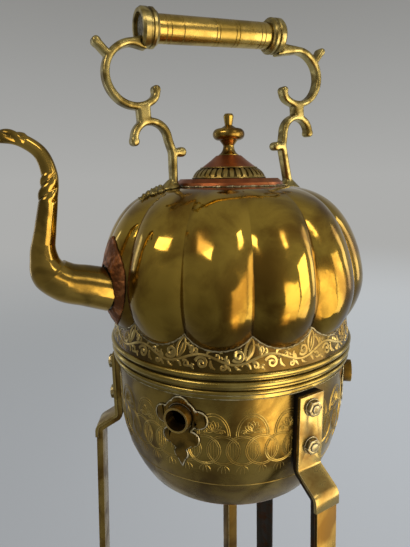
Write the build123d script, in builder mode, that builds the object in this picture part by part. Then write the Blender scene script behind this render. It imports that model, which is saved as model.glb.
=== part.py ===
from build123d import *
import os
from math import asin, cos, degrees, radians, sin, sqrt, tan

# Spirit kettle on a three-legged stand. Millimetres, +Z up. The origin is on the kettle's axis at
# floor level, the spout points along -X and the handle lies in the XZ plane.

# --- Driving dimensions of the stand ---
seat_height = 450.0         # floor to the rim that the kettle sits on
bowl_radius = 109.3         # outside of the fire bowl's wall
bowl_wall_thickness = 1.8
bowl_straight = 58.0        # rim seat to where the wall starts to curve in
bowl_curve_radius = 131.0
bowl_step_depth = 128.0     # rim seat to the step where the wall ends
bowl_ledge_width = 5.0      # inward ledge at the foot of the wall
pan_depth = 13.0            # step to the outside of the bowl's floor
pan_step = 1.8              # how far the pan stands inside the wall's foot
pan_flat_radius = 40.0
rim_reach = 5.7             # rim's outer edge past the bowl's wall
rim_lip = 2.8               # rim's reach over the bowl wall's edge
rim_top_thickness = 2.0
rim_skirt_height = 18.0
rim_skirt_thickness = 1.2
rim_moulding_height = 14.0
rim_moulding_thickness = 2.6
upper_roll_radius = 2.9
lower_roll_radius = 1.8
lower_roll_drop = 11.7      # rim seat down to the lower roll's centre
lower_roll_inset = 1.0      # how far the lower roll stands inside the upper one
port_height = 36.5          # rim seat down to the draught tubes' axis
port_angles = (94.0, 219.0, 323.0)  # set by hand, each between two legs
port_outer_radius = 10.5
port_bore_radius = 9.0
port_length = 11.5
port_inner_reach = 1.0      # tube's reach inside the bowl's wall
port_plate_thickness = 1.6
plate_head_radius = 15.0
plate_crest = (9.0, 8.5)    # top lobe: its centre over the tube's axis, and its radius
plate_ear = (15.5, -1.0, 8.0)       # side lobe: its centre across and up, and its radius
plate_cheek = (9.5, -18.5, 7.0)     # lower side lobe
plate_throat = (-19.0, 11.0)        # middle of the tail
plate_chin = (-33.0, 6.5)   # end of the tail
plate_tip = (4.0, -38.0, -47.0)     # point: its half-width, its root and its tip
leg_angles = (39.5, 154.0, 274.0)   # set by hand, not quite evenly spaced
bracket_width = 25.0
bar_width = 23.0
strip_width = 21.0
bar_thickness = 4.5
bracket_thickness = 3.0
strip_thickness = 2.0
bracket_top_drop = 20.0     # rim seat down to the top of the brackets
bracket_bend_drop = 87.0    # rim seat down to where the arms turn out
arm_reach = 21.0            # how far the arms carry the legs out
arm_drop = 13.0
flange_length = 11.0        # bracket's turned-down end over the leg
leg_splay = 2.5
foot_length = 28.0
bend_inner_radius = 2.0
bolt_radius = 3.5
bolt_clearance = 0.15
bolt_drop = 30.5            # rim seat down to the upper bolts
bolt_spacing = 33.5
nut_across_flats = 12.0
nut_height = 3.6
washer_radius = 7.4
washer_thickness = 0.8
bolt_head_radius = 6.5
bolt_head_height = 3.0
bolt_end_length = 1.0       # thread showing past the nut
post_size = 11.0
stretcher_size = 10.0
stretcher_height = 50.0     # floor to the stretchers' centre line
hub_radius = 17.0
rivet_radius = 3.0
rivet_head_radius = 5.5
rivet_head_height = 2.5
rivet_depth = 9.0           # rivet's reach into the end of a stretcher
rivet_end_gap = 1.0

# --- Driving dimensions of the burner ---
burner_radius = 38.0
burner_height = 26.0
burner_wall = 1.5
burner_top_rise = 6.0
wick_tube_radius = 8.0
wick_tube_bore = 6.6
wick_tube_height = 16.0
wick_radius = 6.5
wick_show = 4.0             # wick above its tube
filler_radius = 5.5
filler_height = 7.0
filler_offset = 22.0

# --- Driving dimensions of the kettle ---
body_wall = 1.6
lobe_count = 13
lobe_depth = 9.0            # crest to crease at the widest place
lobe_overhang = 8.0         # lobes' crests past the stand's rim
equator_rise = 59.0         # rim seat to the widest place
belly_depth = 85.0          # half-height of the ellipse under the widest place
shoulder_rise_power = 1.5
shoulder_radius_power = 4.57
crown_radius = 38.0         # innermost section of the body, under the mouth ring
spout_angle = 180.0         # one lobe is centred on it
flange_height = 5.0
flange_overhang = 0.5       # kettle's bead past the stand's rim
collar_inset = 2.3          # bead's edge back to the foot of the collar
collar_taper = 6.4
collar_height = 32.0
skirt_clearance = 0.8       # kettle's skirt inside the stand's rim
skirt_depth = 14.0
kettle_floor_thickness = 1.8
mouth_radius = 31.0
mouth_ring_radius = 50.4
mouth_ring_top_radius = 45.0
mouth_ring_rise = 147.5     # rim seat to the top of the mouth ring
mouth_ring_show = 5.75      # mouth ring over the body's flat crown
spout_rise = 59.0           # rim seat to the spout's axis where it leaves the body
spout_bore = 15.0           # hole in the body behind the spout
spout_wall = 1.5
spout_flange_thickness = 1.5
spout_flange_width = 54.0
spout_flange_height = 78.0

# --- Driving dimensions of the handle ---
handle_lean = 3.7           # the old handle's plane leans this far towards the spout
handle_sway = 3.2           # and its castings lean this much more than its grip
handle_offset = 5.0         # the feet's middle lies this far from the axis, away from the spout
grip_offset = 4.5           # the grip sits this far towards the spout between its castings
handle_foot_gap = 7.9       # body under the uprights to the level that the handle's heights are taken from
scroll_width = 4.3          # castings seen from the front
scroll_depth = 10.0         # castings front to back
grip_rise = 124.0           # foot level to the grip's axis
grip_radius = 11.0
grip_wall = 1.4
grip_half_length = 66.0
grip_core_recess = 1.0
fit_gap = 0.05
ring_start = 54.0
ring_end = 68.0
ring_radius = 15.2
ring_bead_step = 1.4        # depth of the grooves between the rings' beads
arm_radius = 26.0
arm_turn_angle = 50.0
arm_flare = 10.0            # height of the arm where it meets the ring
leaf_out = 9.0              # from the upper scroll's end out and up to the leaf's tip
leaf_rise = 10.0
leaf_tip_radius = 2.9
upper_scroll_radius = 23.5
upper_scroll_out = 82.0
upper_scroll_rise = 88.5
upper_scroll_start_angle = 36.0
upper_scroll_turn_angle = 161.0
curl_radius = 9.0
curl_turn_angle = 62.0
block_width = 9.5
block_middle = 79.0
lower_scroll_radius = 15.0
lower_scroll_out = 75.5
lower_scroll_rise = 38.0
lower_scroll_start_angle = -2.0
lower_scroll_turn_angle = 182.0
lower_scroll_tip = 3.1
knee_out = 57.8             # where the upright leaves the lower scroll
knee_rise = 27.0
knee_radius = 12.0
bud_reach = 7.5             # knee to the bud's centre
bud_radius = 3.6
bud_neck = 5.0
upright_foot = 63.0
upright_depth = 18.0        # upright's reach below the foot level, where the body trims it
foot_pad_radius = 14.0
foot_pad_height = 12.0

# --- Driving dimensions of the lid ---
lid_band_radius = 33.8
lid_band_top_radius = 25.6
lid_band_height = 9.4
lid_wall = 1.4
flute_count = 36
flute_radius = 1.3
cone_waist_radius = 17.5
cone_top_radius = 11.5
cone_height = 11.2
lid_skirt_clearance = 0.6
lid_skirt_depth = 9.0
finial_base_radius = 9.2
finial_neck_radius = 5.0
finial_bulb_radius = 14.5
finial_pin_radius = 3.4
finial_tip_radius = 4.7
finial_neck_rise = 9.0      # top of the lid to each place on the finial
finial_bulb_rise = 18.6
finial_pin_rise = 26.5
finial_rise = 36.5
stud_radius = 2.5

# --- Places worked out from them ---
bend_height = seat_height - bowl_straight
step_height = seat_height - bowl_step_depth
rim_outer_radius = bowl_radius + rim_reach
flange_outer_radius = rim_outer_radius + flange_overhang
collar_bottom_radius = flange_outer_radius - collar_inset
collar_top_radius = collar_bottom_radius - collar_taper
equator_radius = rim_outer_radius + lobe_overhang
pan_radius = bowl_radius - bowl_curve_radius
pan_radius += sqrt(bowl_curve_radius**2 - (bend_height - step_height) ** 2) - pan_step
pan_floor = step_height - pan_depth
port_level = seat_height - port_height
port_inner_end = bowl_radius - bowl_wall_thickness - port_inner_reach
bolt_levels = [seat_height - bolt_drop, seat_height - bolt_drop - bolt_spacing]
equator_height = seat_height + equator_rise
body_bottom = seat_height + flange_height
skirt_radius = bowl_radius - rim_lip - skirt_clearance
mouth_height = seat_height + mouth_ring_rise
shoulder_rise = mouth_ring_rise - equator_rise - mouth_ring_show
lid_top = mouth_height + lid_band_height + cone_height


def radial_plane(angle, radius, height):
    """Plane square to a radius of the object, facing outwards, with its local y upwards."""
    outward = (cos(radians(angle)), sin(radians(angle)), 0)
    across = (-outward[1], outward[0], 0)
    return Plane(origin=(radius * outward[0], radius * outward[1], height), x_dir=across, z_dir=outward)


def side_plane(angle):
    """Upright plane through the axis: local x is the radius and local y the height."""
    outward = (cos(radians(angle)), sin(radians(angle)), 0)
    return Plane(origin=(0, 0, 0), x_dir=outward, z_dir=(outward[1], -outward[0], 0))


def polar(radius, angle):
    """Point of a level sketch at this radius and direction."""
    return (radius * cos(radians(angle)), radius * sin(radians(angle)))


def parallel_path(points, distance):
    """The path shifted sideways by distance, to the left of its direction, with square corners."""
    lefts = []
    for start, end in zip(points, points[1:]):
        run = (Vector(end) - Vector(start)).normalized()
        lefts.append(Vector(-run.Y, run.X))
    shifted = [Vector(points[0]) + lefts[0] * distance]
    for place, before, after in zip(points[1:-1], lefts, lefts[1:]):
        middle = (before + after).normalized()
        shifted.append(Vector(place) + middle * (distance / middle.dot(before)))
    shifted.append(Vector(points[-1]) + lefts[-1] * distance)
    return [(place.X, place.Y) for place in shifted]


def save(piece, name):
    """Label the finished piece and write its STEP file."""
    piece.label = name
    export_step(piece, os.path.join("parts", name + ".step"))


os.makedirs("parts", exist_ok=True)

# --- Fire bowl ---


def wall_band(inside, outside):
    """Section of a shell that follows the bowl's wall, between two offsets from its outer face."""
    centre = (bowl_radius - bowl_curve_radius, bend_height)
    sweep_angle = degrees(asin((bend_height - step_height) / bowl_curve_radius))
    top = seat_height - rim_top_thickness
    with BuildSketch(Plane.XZ) as band:
        with BuildLine():
            straight_out = Line((bowl_radius + outside, top), (bowl_radius + outside, bend_height))
            curve_out = CenterArc(centre, bowl_curve_radius + outside, 0, -sweep_angle)
            straight_in = Line((bowl_radius + inside, top), (bowl_radius + inside, bend_height))
            curve_in = CenterArc(centre, bowl_curve_radius + inside, 0, -sweep_angle)
            Line(straight_out @ 0, straight_in @ 0)
            Line(curve_out @ 1, curve_in @ 1)
        make_face()
    return band.sketch


with BuildPart() as bowl_wall:
    add(wall_band(-bowl_wall_thickness, 0))
    with BuildSketch(Plane.XZ):
        with Locations((pan_radius + pan_step - bowl_ledge_width, step_height)):
            Rectangle(bowl_ledge_width, bowl_wall_thickness, align=(Align.MIN, Align.MIN))
    revolve(axis=Axis.Z)
    for port_angle in port_angles:
        with Locations(radial_plane(port_angle, bowl_radius - port_length, port_level)):
            Cylinder(port_outer_radius + fit_gap, 2 * port_length, mode=Mode.SUBTRACT)
    for leg_angle in leg_angles:
        for bolt_level in bolt_levels:
            with Locations(radial_plane(leg_angle, bowl_radius, bolt_level)):
                Cylinder(bolt_radius + bolt_clearance, 6 * bowl_wall_thickness, mode=Mode.SUBTRACT)
save(bowl_wall.part, "bowl_wall")

# Moulded rim: a top plate over the wall's edge, two rolls and a plain skirt below them.
upper_roll_centre = (rim_outer_radius - upper_roll_radius, seat_height - rim_top_thickness - upper_roll_radius)
lower_roll_centre = (rim_outer_radius - lower_roll_inset - lower_roll_radius, seat_height - lower_roll_drop)
with BuildPart() as bowl_rim:
    with BuildSketch(Plane.XZ):
        with Locations((bowl_radius - rim_lip, seat_height)):
            Rectangle(rim_lip + rim_moulding_thickness, rim_top_thickness, align=(Align.MIN, Align.MAX))
        with Locations((bowl_radius, seat_height)):
            Rectangle(rim_moulding_thickness, rim_moulding_height, align=(Align.MIN, Align.MAX))
            Rectangle(rim_skirt_thickness, rim_skirt_height, align=(Align.MIN, Align.MAX))
        with Locations(upper_roll_centre):
            Circle(upper_roll_radius)
        with Locations(lower_roll_centre):
            Circle(lower_roll_radius)
        with Locations((bowl_radius, seat_height - rim_top_thickness)):
            Rectangle(bowl_radius, rim_skirt_height, align=(Align.MAX, Align.MAX), mode=Mode.SUBTRACT)
    revolve(axis=Axis.Z)
save(bowl_rim.part, "bowl_rim")

# Bottom pan: a flat floor with a quarter-ellipse corner, brazed under the wall's ledge.
with BuildPart() as bowl_pan:
    with BuildSketch(Plane.XZ):
        for inset, mode in ((0, Mode.ADD), (bowl_wall_thickness, Mode.SUBTRACT)):
            corner_width = pan_radius - pan_flat_radius - inset
            corner_height = pan_depth - inset
            with BuildLine():
                corner = EllipticalCenterArc(
                    (pan_flat_radius, step_height), corner_width, corner_height, start_angle=270, arc_size=90
                )
                Polyline(corner @ 0, (0, step_height - corner_height), (0, step_height), corner @ 1)
            make_face(mode=mode)
    revolve(axis=Axis.Z)
save(bowl_pan.part, "bowl_pan")

# --- Draught tubes and their plates ---
with BuildPart() as plate_shell:
    add(wall_band(0, port_plate_thickness))
    revolve(axis=Axis.Z)

for number, port_angle in enumerate(port_angles, start=1):
    with BuildPart() as port_tube:
        with BuildSketch(radial_plane(port_angle, port_inner_end, port_level)):
            Circle(port_outer_radius)
            Circle(port_bore_radius, mode=Mode.SUBTRACT)
        extrude(amount=port_length)
    save(port_tube.part, f"port_tube_{number}")

    # Lobed plate: three lobes on each side, a round head and a pointed tail.
    with BuildPart() as port_plate:
        with BuildSketch(radial_plane(port_angle, bowl_radius / 2, port_level)):
            Circle(plate_head_radius)
            for height, radius in (plate_crest, plate_throat, plate_chin):
                with Locations((0, height)):
                    Circle(radius)
            for across, height, radius in (plate_ear, plate_cheek):
                with Locations((-across, height), (across, height)):
                    Circle(radius)
            half_width, root, tip = plate_tip
            with BuildLine():
                Polyline((-half_width, root), (0, tip), (half_width, root), (0, plate_chin[0]), close=True)
            make_face()
            Circle(port_outer_radius + fit_gap, mode=Mode.SUBTRACT)
        extrude(amount=bowl_radius)
        add(plate_shell.part, mode=Mode.INTERSECT)
    save(port_plate.part, f"port_plate_{number}")

# --- Legs ---
bar_face = bowl_radius + bar_thickness / 2
leg_top = seat_height - bracket_bend_drop - arm_drop
floor_radius = bar_face + arm_reach + leg_top * tan(radians(leg_splay))
bar_points = [
    (bar_face, seat_height - bracket_top_drop),
    (bar_face, seat_height - bracket_bend_drop),
    (bar_face + arm_reach, leg_top),
    (floor_radius, bar_thickness / 2),
    (floor_radius + foot_length, bar_thickness / 2),
]
# The brass lies on the outer face of the bar, which is on the left of the path from the top down.
bracket_shift = (bar_thickness + bracket_thickness) / 2
strip_shift = (bar_thickness + strip_thickness) / 2
bracket_points = parallel_path(bar_points, bracket_shift)[:3]
leg_run = (Vector(bar_points[3]) - Vector(bar_points[2])).normalized()
flange_end = Vector(bracket_points[2]) + leg_run * flange_length
bracket_points.append((flange_end.X, flange_end.Y))
strip_path = parallel_path(bar_points, strip_shift)
strip_start = Vector(strip_path[2]) + leg_run * flange_length
strip_points = [(strip_start.X, strip_start.Y), strip_path[3], strip_path[4]]
bar_bends = [
    bend_inner_radius + bracket_thickness / 2 + bracket_shift,
    bend_inner_radius + bar_thickness / 2,
    bend_inner_radius + strip_thickness / 2 + strip_shift,
]
bracket_bends = [bar_bends[0] - bracket_shift, bar_bends[1] + bracket_shift]
strip_bends = [bar_bends[2] - strip_shift]
stretcher_reach = floor_radius - (stretcher_height - bar_thickness / 2) * tan(radians(leg_splay))


def strap(angle, points, bends, width, thickness):
    """Flat strap bent along a path in the upright plane at this angle."""
    with BuildPart() as piece:
        with BuildSketch(side_plane(angle)):
            with BuildLine():
                FilletPolyline(points, radius=bends)
            trace(line_width=thickness)
        extrude(amount=width / 2, both=True)
    return piece.part


def rivet_plane(angle):
    """Plane square to a leg at the stretchers' level, on the centre line of its bar."""
    tilt = radians(leg_splay)
    outward = Vector(cos(radians(angle)) * cos(tilt), sin(radians(angle)) * cos(tilt), sin(tilt))
    across = Vector(-sin(radians(angle)), cos(radians(angle)), 0)
    place = Vector(*polar(stretcher_reach, angle), stretcher_height)
    return Plane(origin=place, x_dir=across, z_dir=outward)


rivet_hole = rivet_radius + fit_gap
leg_bars = []
for number, leg_angle in enumerate(leg_angles, start=1):
    bolt_planes = [radial_plane(leg_angle, bar_face, bolt_level) for bolt_level in bolt_levels]

    with BuildPart() as leg_bar:
        add(strap(leg_angle, bar_points, bar_bends, bar_width, bar_thickness))
        for bolt_plane in bolt_planes:
            with Locations(bolt_plane):
                Cylinder(bolt_radius + bolt_clearance, 2 * bar_thickness, mode=Mode.SUBTRACT)
        with Locations(rivet_plane(leg_angle)):
            Cylinder(rivet_hole, 2 * bar_thickness, mode=Mode.SUBTRACT)
    leg_bars.append(leg_bar.part)
    save(leg_bar.part, f"leg_bar_{number}")

    with BuildPart() as leg_bracket:
        add(strap(leg_angle, bracket_points, bracket_bends, bracket_width, bracket_thickness))
        for bolt_plane in bolt_planes:
            with Locations(bolt_plane):
                Cylinder(bolt_radius + bolt_clearance, 4 * bar_thickness, mode=Mode.SUBTRACT)
    save(leg_bracket.part, f"leg_bracket_{number}")

    with BuildPart() as leg_strip:
        add(strap(leg_angle, strip_points, strip_bends, strip_width, strip_thickness))
        with Locations(rivet_plane(leg_angle)):
            Cylinder(rivet_hole, 4 * bar_thickness, mode=Mode.SUBTRACT)
    save(leg_strip.part, f"leg_strip_{number}")

# Bolts from inside the bowl, with a washer and a nut on each bracket.
bracket_face = bowl_radius + bar_thickness + bracket_thickness
nut_face = bracket_face + washer_thickness
head_faces = []
for bolt_level in bolt_levels:
    curve_depth = max(0, bend_height - bolt_level + bolt_head_radius)
    curve_loss = bowl_curve_radius - sqrt(bowl_curve_radius**2 - curve_depth**2)
    wall_inside = bowl_radius - bowl_wall_thickness - curve_loss
    head_faces.append(sqrt(wall_inside**2 - bolt_head_radius**2))
with BuildPart() as bracket_bolts:
    for leg_angle in leg_angles:
        for bolt_level, head_face in zip(bolt_levels, head_faces):
            with BuildSketch(radial_plane(leg_angle, head_face - bolt_head_height, bolt_level)):
                Circle(bolt_head_radius)
            extrude(amount=bolt_head_height)
            with BuildSketch(radial_plane(leg_angle, head_face, bolt_level)):
                Circle(bolt_radius)
            extrude(amount=nut_face + nut_height + bolt_end_length - head_face)
save(bracket_bolts.part, "bracket_bolts")

with BuildPart() as bracket_washers:
    for leg_angle in leg_angles:
        for bolt_level in bolt_levels:
            with BuildSketch(radial_plane(leg_angle, bracket_face, bolt_level)):
                Circle(washer_radius)
                Circle(bolt_radius + bolt_clearance, mode=Mode.SUBTRACT)
            extrude(amount=washer_thickness)
save(bracket_washers.part, "bracket_washers")

with BuildPart() as bracket_nuts:
    for leg_angle in leg_angles:
        for bolt_level in bolt_levels:
            with BuildSketch(radial_plane(leg_angle, nut_face, bolt_level)):
                RegularPolygon(nut_across_flats / 2, 6, major_radius=False)
                Circle(bolt_radius + fit_gap, mode=Mode.SUBTRACT)
            extrude(amount=nut_height)
save(bracket_nuts.part, "bracket_nuts")

# --- Centre post and stretchers ---
hub_top = stretcher_height + stretcher_size / 2
with BuildPart() as centre_post:
    with BuildSketch(Plane.XY.offset(hub_top)):
        Rectangle(post_size, post_size, rotation=leg_angles[2])
    extrude(amount=pan_floor - hub_top)
save(centre_post.part, "centre_post")

with BuildPart() as stretcher_hub:
    with BuildSketch(Plane.XY.offset(hub_top)):
        Circle(hub_radius)
    extrude(amount=-stretcher_size)
    chamfer(stretcher_hub.faces().sort_by(Axis.Z)[0].edges(), 2)
save(stretcher_hub.part, "stretcher_hub")

for number, (leg_angle, leg_bar_solid) in enumerate(zip(leg_angles, leg_bars), start=1):
    with BuildPart() as stretcher:
        with BuildSketch(radial_plane(leg_angle, 0, stretcher_height)):
            Rectangle(stretcher_size, stretcher_size)
        extrude(amount=stretcher_reach)
        with BuildSketch(Plane.XY.offset(stretcher_height)):
            Circle(hub_radius)
        extrude(amount=stretcher_size, both=True, mode=Mode.SUBTRACT)
        add(leg_bar_solid, mode=Mode.SUBTRACT)
        with Locations(rivet_plane(leg_angle)):
            Cylinder(rivet_hole, 2 * rivet_depth + bar_thickness + rivet_end_gap, mode=Mode.SUBTRACT)
    save(stretcher.part, f"stretcher_{number}")

with BuildPart() as stretcher_rivets:
    for leg_angle in leg_angles:
        outer_face = rivet_plane(leg_angle).offset(bar_thickness / 2 + strip_thickness)
        with BuildSketch(outer_face):
            Circle(rivet_radius)
        extrude(amount=-(rivet_depth + bar_thickness + strip_thickness))
        with BuildSketch(outer_face):
            Circle(rivet_head_radius)
        extrude(amount=rivet_head_height, taper=35)
save(stretcher_rivets.part, "stretcher_rivets")

# --- Spirit burner ---
burner_bottom = pan_floor + bowl_wall_thickness
burner_rim = burner_bottom + burner_height
burner_crown = burner_rim + burner_top_rise
wick_tube_top = burner_crown + wick_tube_height
with BuildPart() as burner_tank:
    with BuildSketch(Plane.XY.offset(burner_bottom)):
        Circle(burner_radius)
    extrude(amount=burner_height)
    fillet(burner_tank.faces().sort_by(Axis.Z)[0].edges(), 3)
    with BuildSketch(Plane.XY.offset(burner_bottom + burner_wall)):
        Circle(burner_radius - burner_wall)
    extrude(amount=burner_height, mode=Mode.SUBTRACT)
save(burner_tank.part, "burner_tank")

# Domed top with holes for the wick tube and the filler.
with BuildPart() as burner_top:
    with BuildSketch(Plane.XZ):
        with BuildLine():
            dome = ThreePointArc(
                (burner_radius, burner_rim + burner_wall),
                (0.6 * burner_radius, burner_rim + 0.75 * burner_top_rise),
                (0, burner_crown),
            )
            Polyline(dome @ 1, (0, burner_rim), (burner_radius, burner_rim), dome @ 0)
        make_face()
    revolve(axis=Axis.Z)
    with BuildSketch(Plane.XY.offset(burner_rim)):
        Circle(wick_tube_radius + fit_gap)
        with Locations((filler_offset, 0)):
            Circle(filler_radius + fit_gap)
    extrude(amount=2 * burner_top_rise, mode=Mode.SUBTRACT)
save(burner_top.part, "burner_top")

with BuildPart() as burner_wick_tube:
    with BuildSketch(Plane.XY.offset(burner_rim)):
        Circle(wick_tube_radius)
        Circle(wick_tube_bore, mode=Mode.SUBTRACT)
    extrude(amount=wick_tube_top - burner_rim)
save(burner_wick_tube.part, "burner_wick_tube")

with BuildPart() as burner_wick:
    with BuildSketch(Plane.XY.offset(burner_bottom + burner_wall)):
        Circle(wick_radius)
    extrude(amount=wick_tube_top + wick_show - burner_bottom - burner_wall)
save(burner_wick.part, "burner_wick")

with BuildPart() as burner_filler_cap:
    with BuildSketch(Plane.XY.offset(burner_rim)):
        with Locations((filler_offset, 0)):
            Circle(filler_radius)
    extrude(amount=burner_top_rise + filler_height)
    chamfer(burner_filler_cap.faces().sort_by(Axis.Z)[-1].edges(), 1)
save(burner_filler_cap.part, "burner_filler_cap")

# --- Kettle body ---


def crest_radius(rise):
    """Radius of the lobes' crests at this rise over the widest place."""
    if rise > 0:
        share = (rise / shoulder_rise) ** shoulder_rise_power
        return equator_radius * (1 - share) ** (1 / shoulder_radius_power)
    return equator_radius * sqrt(1 - (rise / belly_depth) ** 2)


def shoulder_height(radius):
    """Rise over the widest place at which the crests have this radius."""
    share = 1 - (radius / equator_radius) ** shoulder_radius_power
    return shoulder_rise * share ** (1 / shoulder_rise_power)


belly_start = flange_height + 6 - equator_rise
section_rises = [belly_start * share for share in (1, 0.78, 0.54, 0.27, 0)]
section_rises += [shoulder_rise * share for share in (0.17, 0.34, 0.51, 0.66, 0.79)]
section_rises += [
    shoulder_height(crown_radius + share * (equator_radius - crown_radius)) for share in (0.53, 0.35, 0.165, 0)
]


def lobed_form(inset):
    """Solid of the lobed body, shrunk by inset, from inside the collar to the crown."""
    step = 360 / lobe_count
    crown_share = 1 - inset / shoulder_rise
    with BuildPart() as form:
        for rise in section_rises:
            crest = crest_radius(rise)
            depth = lobe_depth * (crest / equator_radius) ** 3 if rise > 0 else lobe_depth
            height = rise * crown_share if rise > 0 else rise
            with BuildSketch(Plane.XY.offset(equator_height + height)):
                with BuildLine():
                    for lobe in range(lobe_count):
                        middle = spout_angle + lobe * step
                        ThreePointArc(
                            polar(crest - depth - inset, middle - step / 2),
                            polar(crest - inset, middle),
                            polar(crest - depth - inset, middle + step / 2),
                        )
                make_face()
        loft()
    return form.part


def collar_form(inset):
    """Solid of the plain tapering collar under the lobes, shrunk by inset."""
    with BuildPart() as form:
        with BuildSketch(Plane.XZ):
            Polygon(
                (0, body_bottom),
                (collar_bottom_radius - inset, body_bottom),
                (collar_top_radius - inset, body_bottom + collar_height),
                (0, body_bottom + collar_height),
                align=None,
            )
        revolve(axis=Axis.Z)
    return form.part


outer_lobes = lobed_form(0)
inner_lobes = lobed_form(body_wall)
outer_collar = collar_form(0)
inner_collar = collar_form(body_wall)
with BuildPart() as kettle_outside:
    add(outer_lobes)
    add(outer_collar)

with BuildPart() as kettle_body:
    add(kettle_outside.part)
    add(inner_lobes, mode=Mode.SUBTRACT)
    add(inner_collar, mode=Mode.SUBTRACT)
    with BuildSketch(Plane.XY.offset(equator_height)):
        Circle(mouth_radius)
    extrude(amount=2 * shoulder_rise, mode=Mode.SUBTRACT)
    with BuildSketch(radial_plane(spout_angle, 0, seat_height + spout_rise)):
        Circle(spout_bore)
    extrude(amount=2 * equator_radius, mode=Mode.SUBTRACT)
save(kettle_body.part, "kettle_body")

# Half-round bead that rests on the stand's rim.
bead_radius = flange_height / 2
with BuildPart() as kettle_flange:
    with BuildSketch(Plane.XZ):
        with Locations((skirt_radius, seat_height)):
            Rectangle(
                flange_outer_radius - bead_radius - skirt_radius, flange_height, align=(Align.MIN, Align.MIN)
            )
        with Locations((flange_outer_radius - bead_radius, seat_height + bead_radius)):
            Circle(bead_radius)
    revolve(axis=Axis.Z)
save(kettle_flange.part, "kettle_flange")

# Flat-bottomed pan whose skirt drops inside the rim and centres the kettle.
skirt_bottom = seat_height - skirt_depth
with BuildPart() as kettle_bottom:
    with BuildSketch(Plane.XY.offset(skirt_bottom)):
        Circle(skirt_radius)
    extrude(amount=skirt_depth + flange_height)
    fillet(kettle_bottom.faces().sort_by(Axis.Z)[0].edges(), 4)
    with BuildSketch(Plane.XY.offset(skirt_bottom + kettle_floor_thickness)):
        Circle(skirt_radius - kettle_floor_thickness)
    extrude(amount=skirt_depth + flange_height, mode=Mode.SUBTRACT)
save(kettle_bottom.part, "kettle_bottom")

# Copper ring soldered round the mouth.
ring_bottom = equator_height + shoulder_height(mouth_ring_radius) - 1
with BuildPart() as mouth_ring:
    with BuildSketch(Plane.XZ):
        Polygon(
            (mouth_radius, ring_bottom),
            (mouth_ring_radius, ring_bottom),
            (mouth_ring_radius - 1.2, ring_bottom + 0.55 * (mouth_height - ring_bottom)),
            (mouth_ring_top_radius, mouth_height),
            (mouth_radius, mouth_height),
            align=None,
        )
    revolve(axis=Axis.Z)
    add(kettle_outside.part, mode=Mode.SUBTRACT)
save(mouth_ring.part, "mouth_ring")

# --- Spout ---
# Middle line of the swan neck: how far past the widest radius, and how far over its root.
spout_line = [
    (-16, -6),
    (13, 3),
    (31, 8.5),
    (42.5, 18),
    (45.5, 32),
    (42.5, 52),
    (38.5, 74),
    (36, 94),
    (41.5, 110),
    (54, 118.8),
    (80, 121),
]
# Its radius from the root to the tip, at even steps along the line.
spout_radii = (19.2, 18.5, 17.8, 17, 16.4, 15.3, 11.2, 9, 8.2, 7.6, 7, 6.4, 5.8, 5.3, 5, 4.7, 4.6)


def spout_form(inset):
    """Solid of the swan neck, shrunk by inset."""
    level = seat_height + spout_rise
    steps = len(spout_radii) - 1
    with BuildPart() as form:
        with BuildLine() as middle:
            Spline(*[(-(equator_radius + out), 0, level + up) for out, up in spout_line])
        for index, radius in enumerate(spout_radii):
            place = middle.line @ (index / steps)
            with BuildSketch(Plane(origin=place, x_dir=(0, 1, 0), z_dir=middle.line % (index / steps))):
                Circle(radius - inset)
        loft()
    return form.part


spout_outside = spout_form(0)
spout_inside = spout_form(spout_wall)
with BuildPart() as spout:
    add(spout_outside)
    add(kettle_outside.part, mode=Mode.SUBTRACT)
    add(spout_inside, mode=Mode.SUBTRACT)
save(spout.part, "spout")

# Copper plate under the spout: a pointed oval with a small lobe on each side, bent to the lobe.
flange_skin = lobed_form(-spout_flange_thickness)
with BuildPart() as spout_flange:
    with BuildSketch(radial_plane(spout_angle, 0, seat_height + spout_rise + 4)):
        with BuildLine():
            right_edge = ThreePointArc(
                (0, spout_flange_height / 2), (spout_flange_width / 2, 0), (0, -spout_flange_height / 2)
            )
            ThreePointArc(right_edge @ 1, (-spout_flange_width / 2, 0), right_edge @ 0)
        make_face()
    extrude(amount=2 * equator_radius)
    add(flange_skin, mode=Mode.INTERSECT)
    add(kettle_outside.part, mode=Mode.SUBTRACT)
    add(spout_outside, mode=Mode.SUBTRACT)
save(spout_flange.part, "spout_flange")

# --- Handle ---
# Local x runs out along the grip and local y up; the plane leans towards the spout about the feet.
lean = radians(handle_lean)
foot_level = equator_height + shoulder_height(upright_foot) + handle_foot_gap
block_top = upper_scroll_rise - upper_scroll_radius
block_bottom = lower_scroll_rise + lower_scroll_radius


def handle_plane(side):
    """Plane of the handle; side 1 draws the half away from the spout and -1 the half by it."""
    across = (side * cos(lean), 0, side * sin(lean))
    return Plane(origin=(handle_offset, 0, foot_level), x_dir=across, z_dir=(0, -side, 0))


def swayed(side, along, height):
    """Place in a half's plane, carried towards the spout in proportion to its height."""
    return (along - side * height * tan(radians(handle_sway)), height)


grip_plane = handle_plane(1)
grip_axis = Axis(grip_plane.from_local_coords((0, grip_rise, 0)), grip_plane.x_dir)


def grip_middle(side):
    """Where the grip's middle lies along a half's plane."""
    return swayed(side, 0, grip_rise)[0] - side * grip_offset


def turned(side, corners):
    """Solid turned about the grip's axis from corners given as (out from its middle, radius)."""
    middle = grip_middle(side)
    with BuildPart() as form:
        with BuildSketch(handle_plane(side)):
            Polygon(*[(middle + out, grip_rise + radius) for out, radius in corners], align=None)
        revolve(axis=grip_axis)
    return form.part


with BuildPart() as grip_tube:
    add(turned(1, [
        (-grip_half_length, grip_radius - grip_wall),
        (-grip_half_length, grip_radius),
        (grip_half_length, grip_radius),
        (grip_half_length, grip_radius - grip_wall),
    ]))
save(grip_tube.part, "grip_tube")

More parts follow.
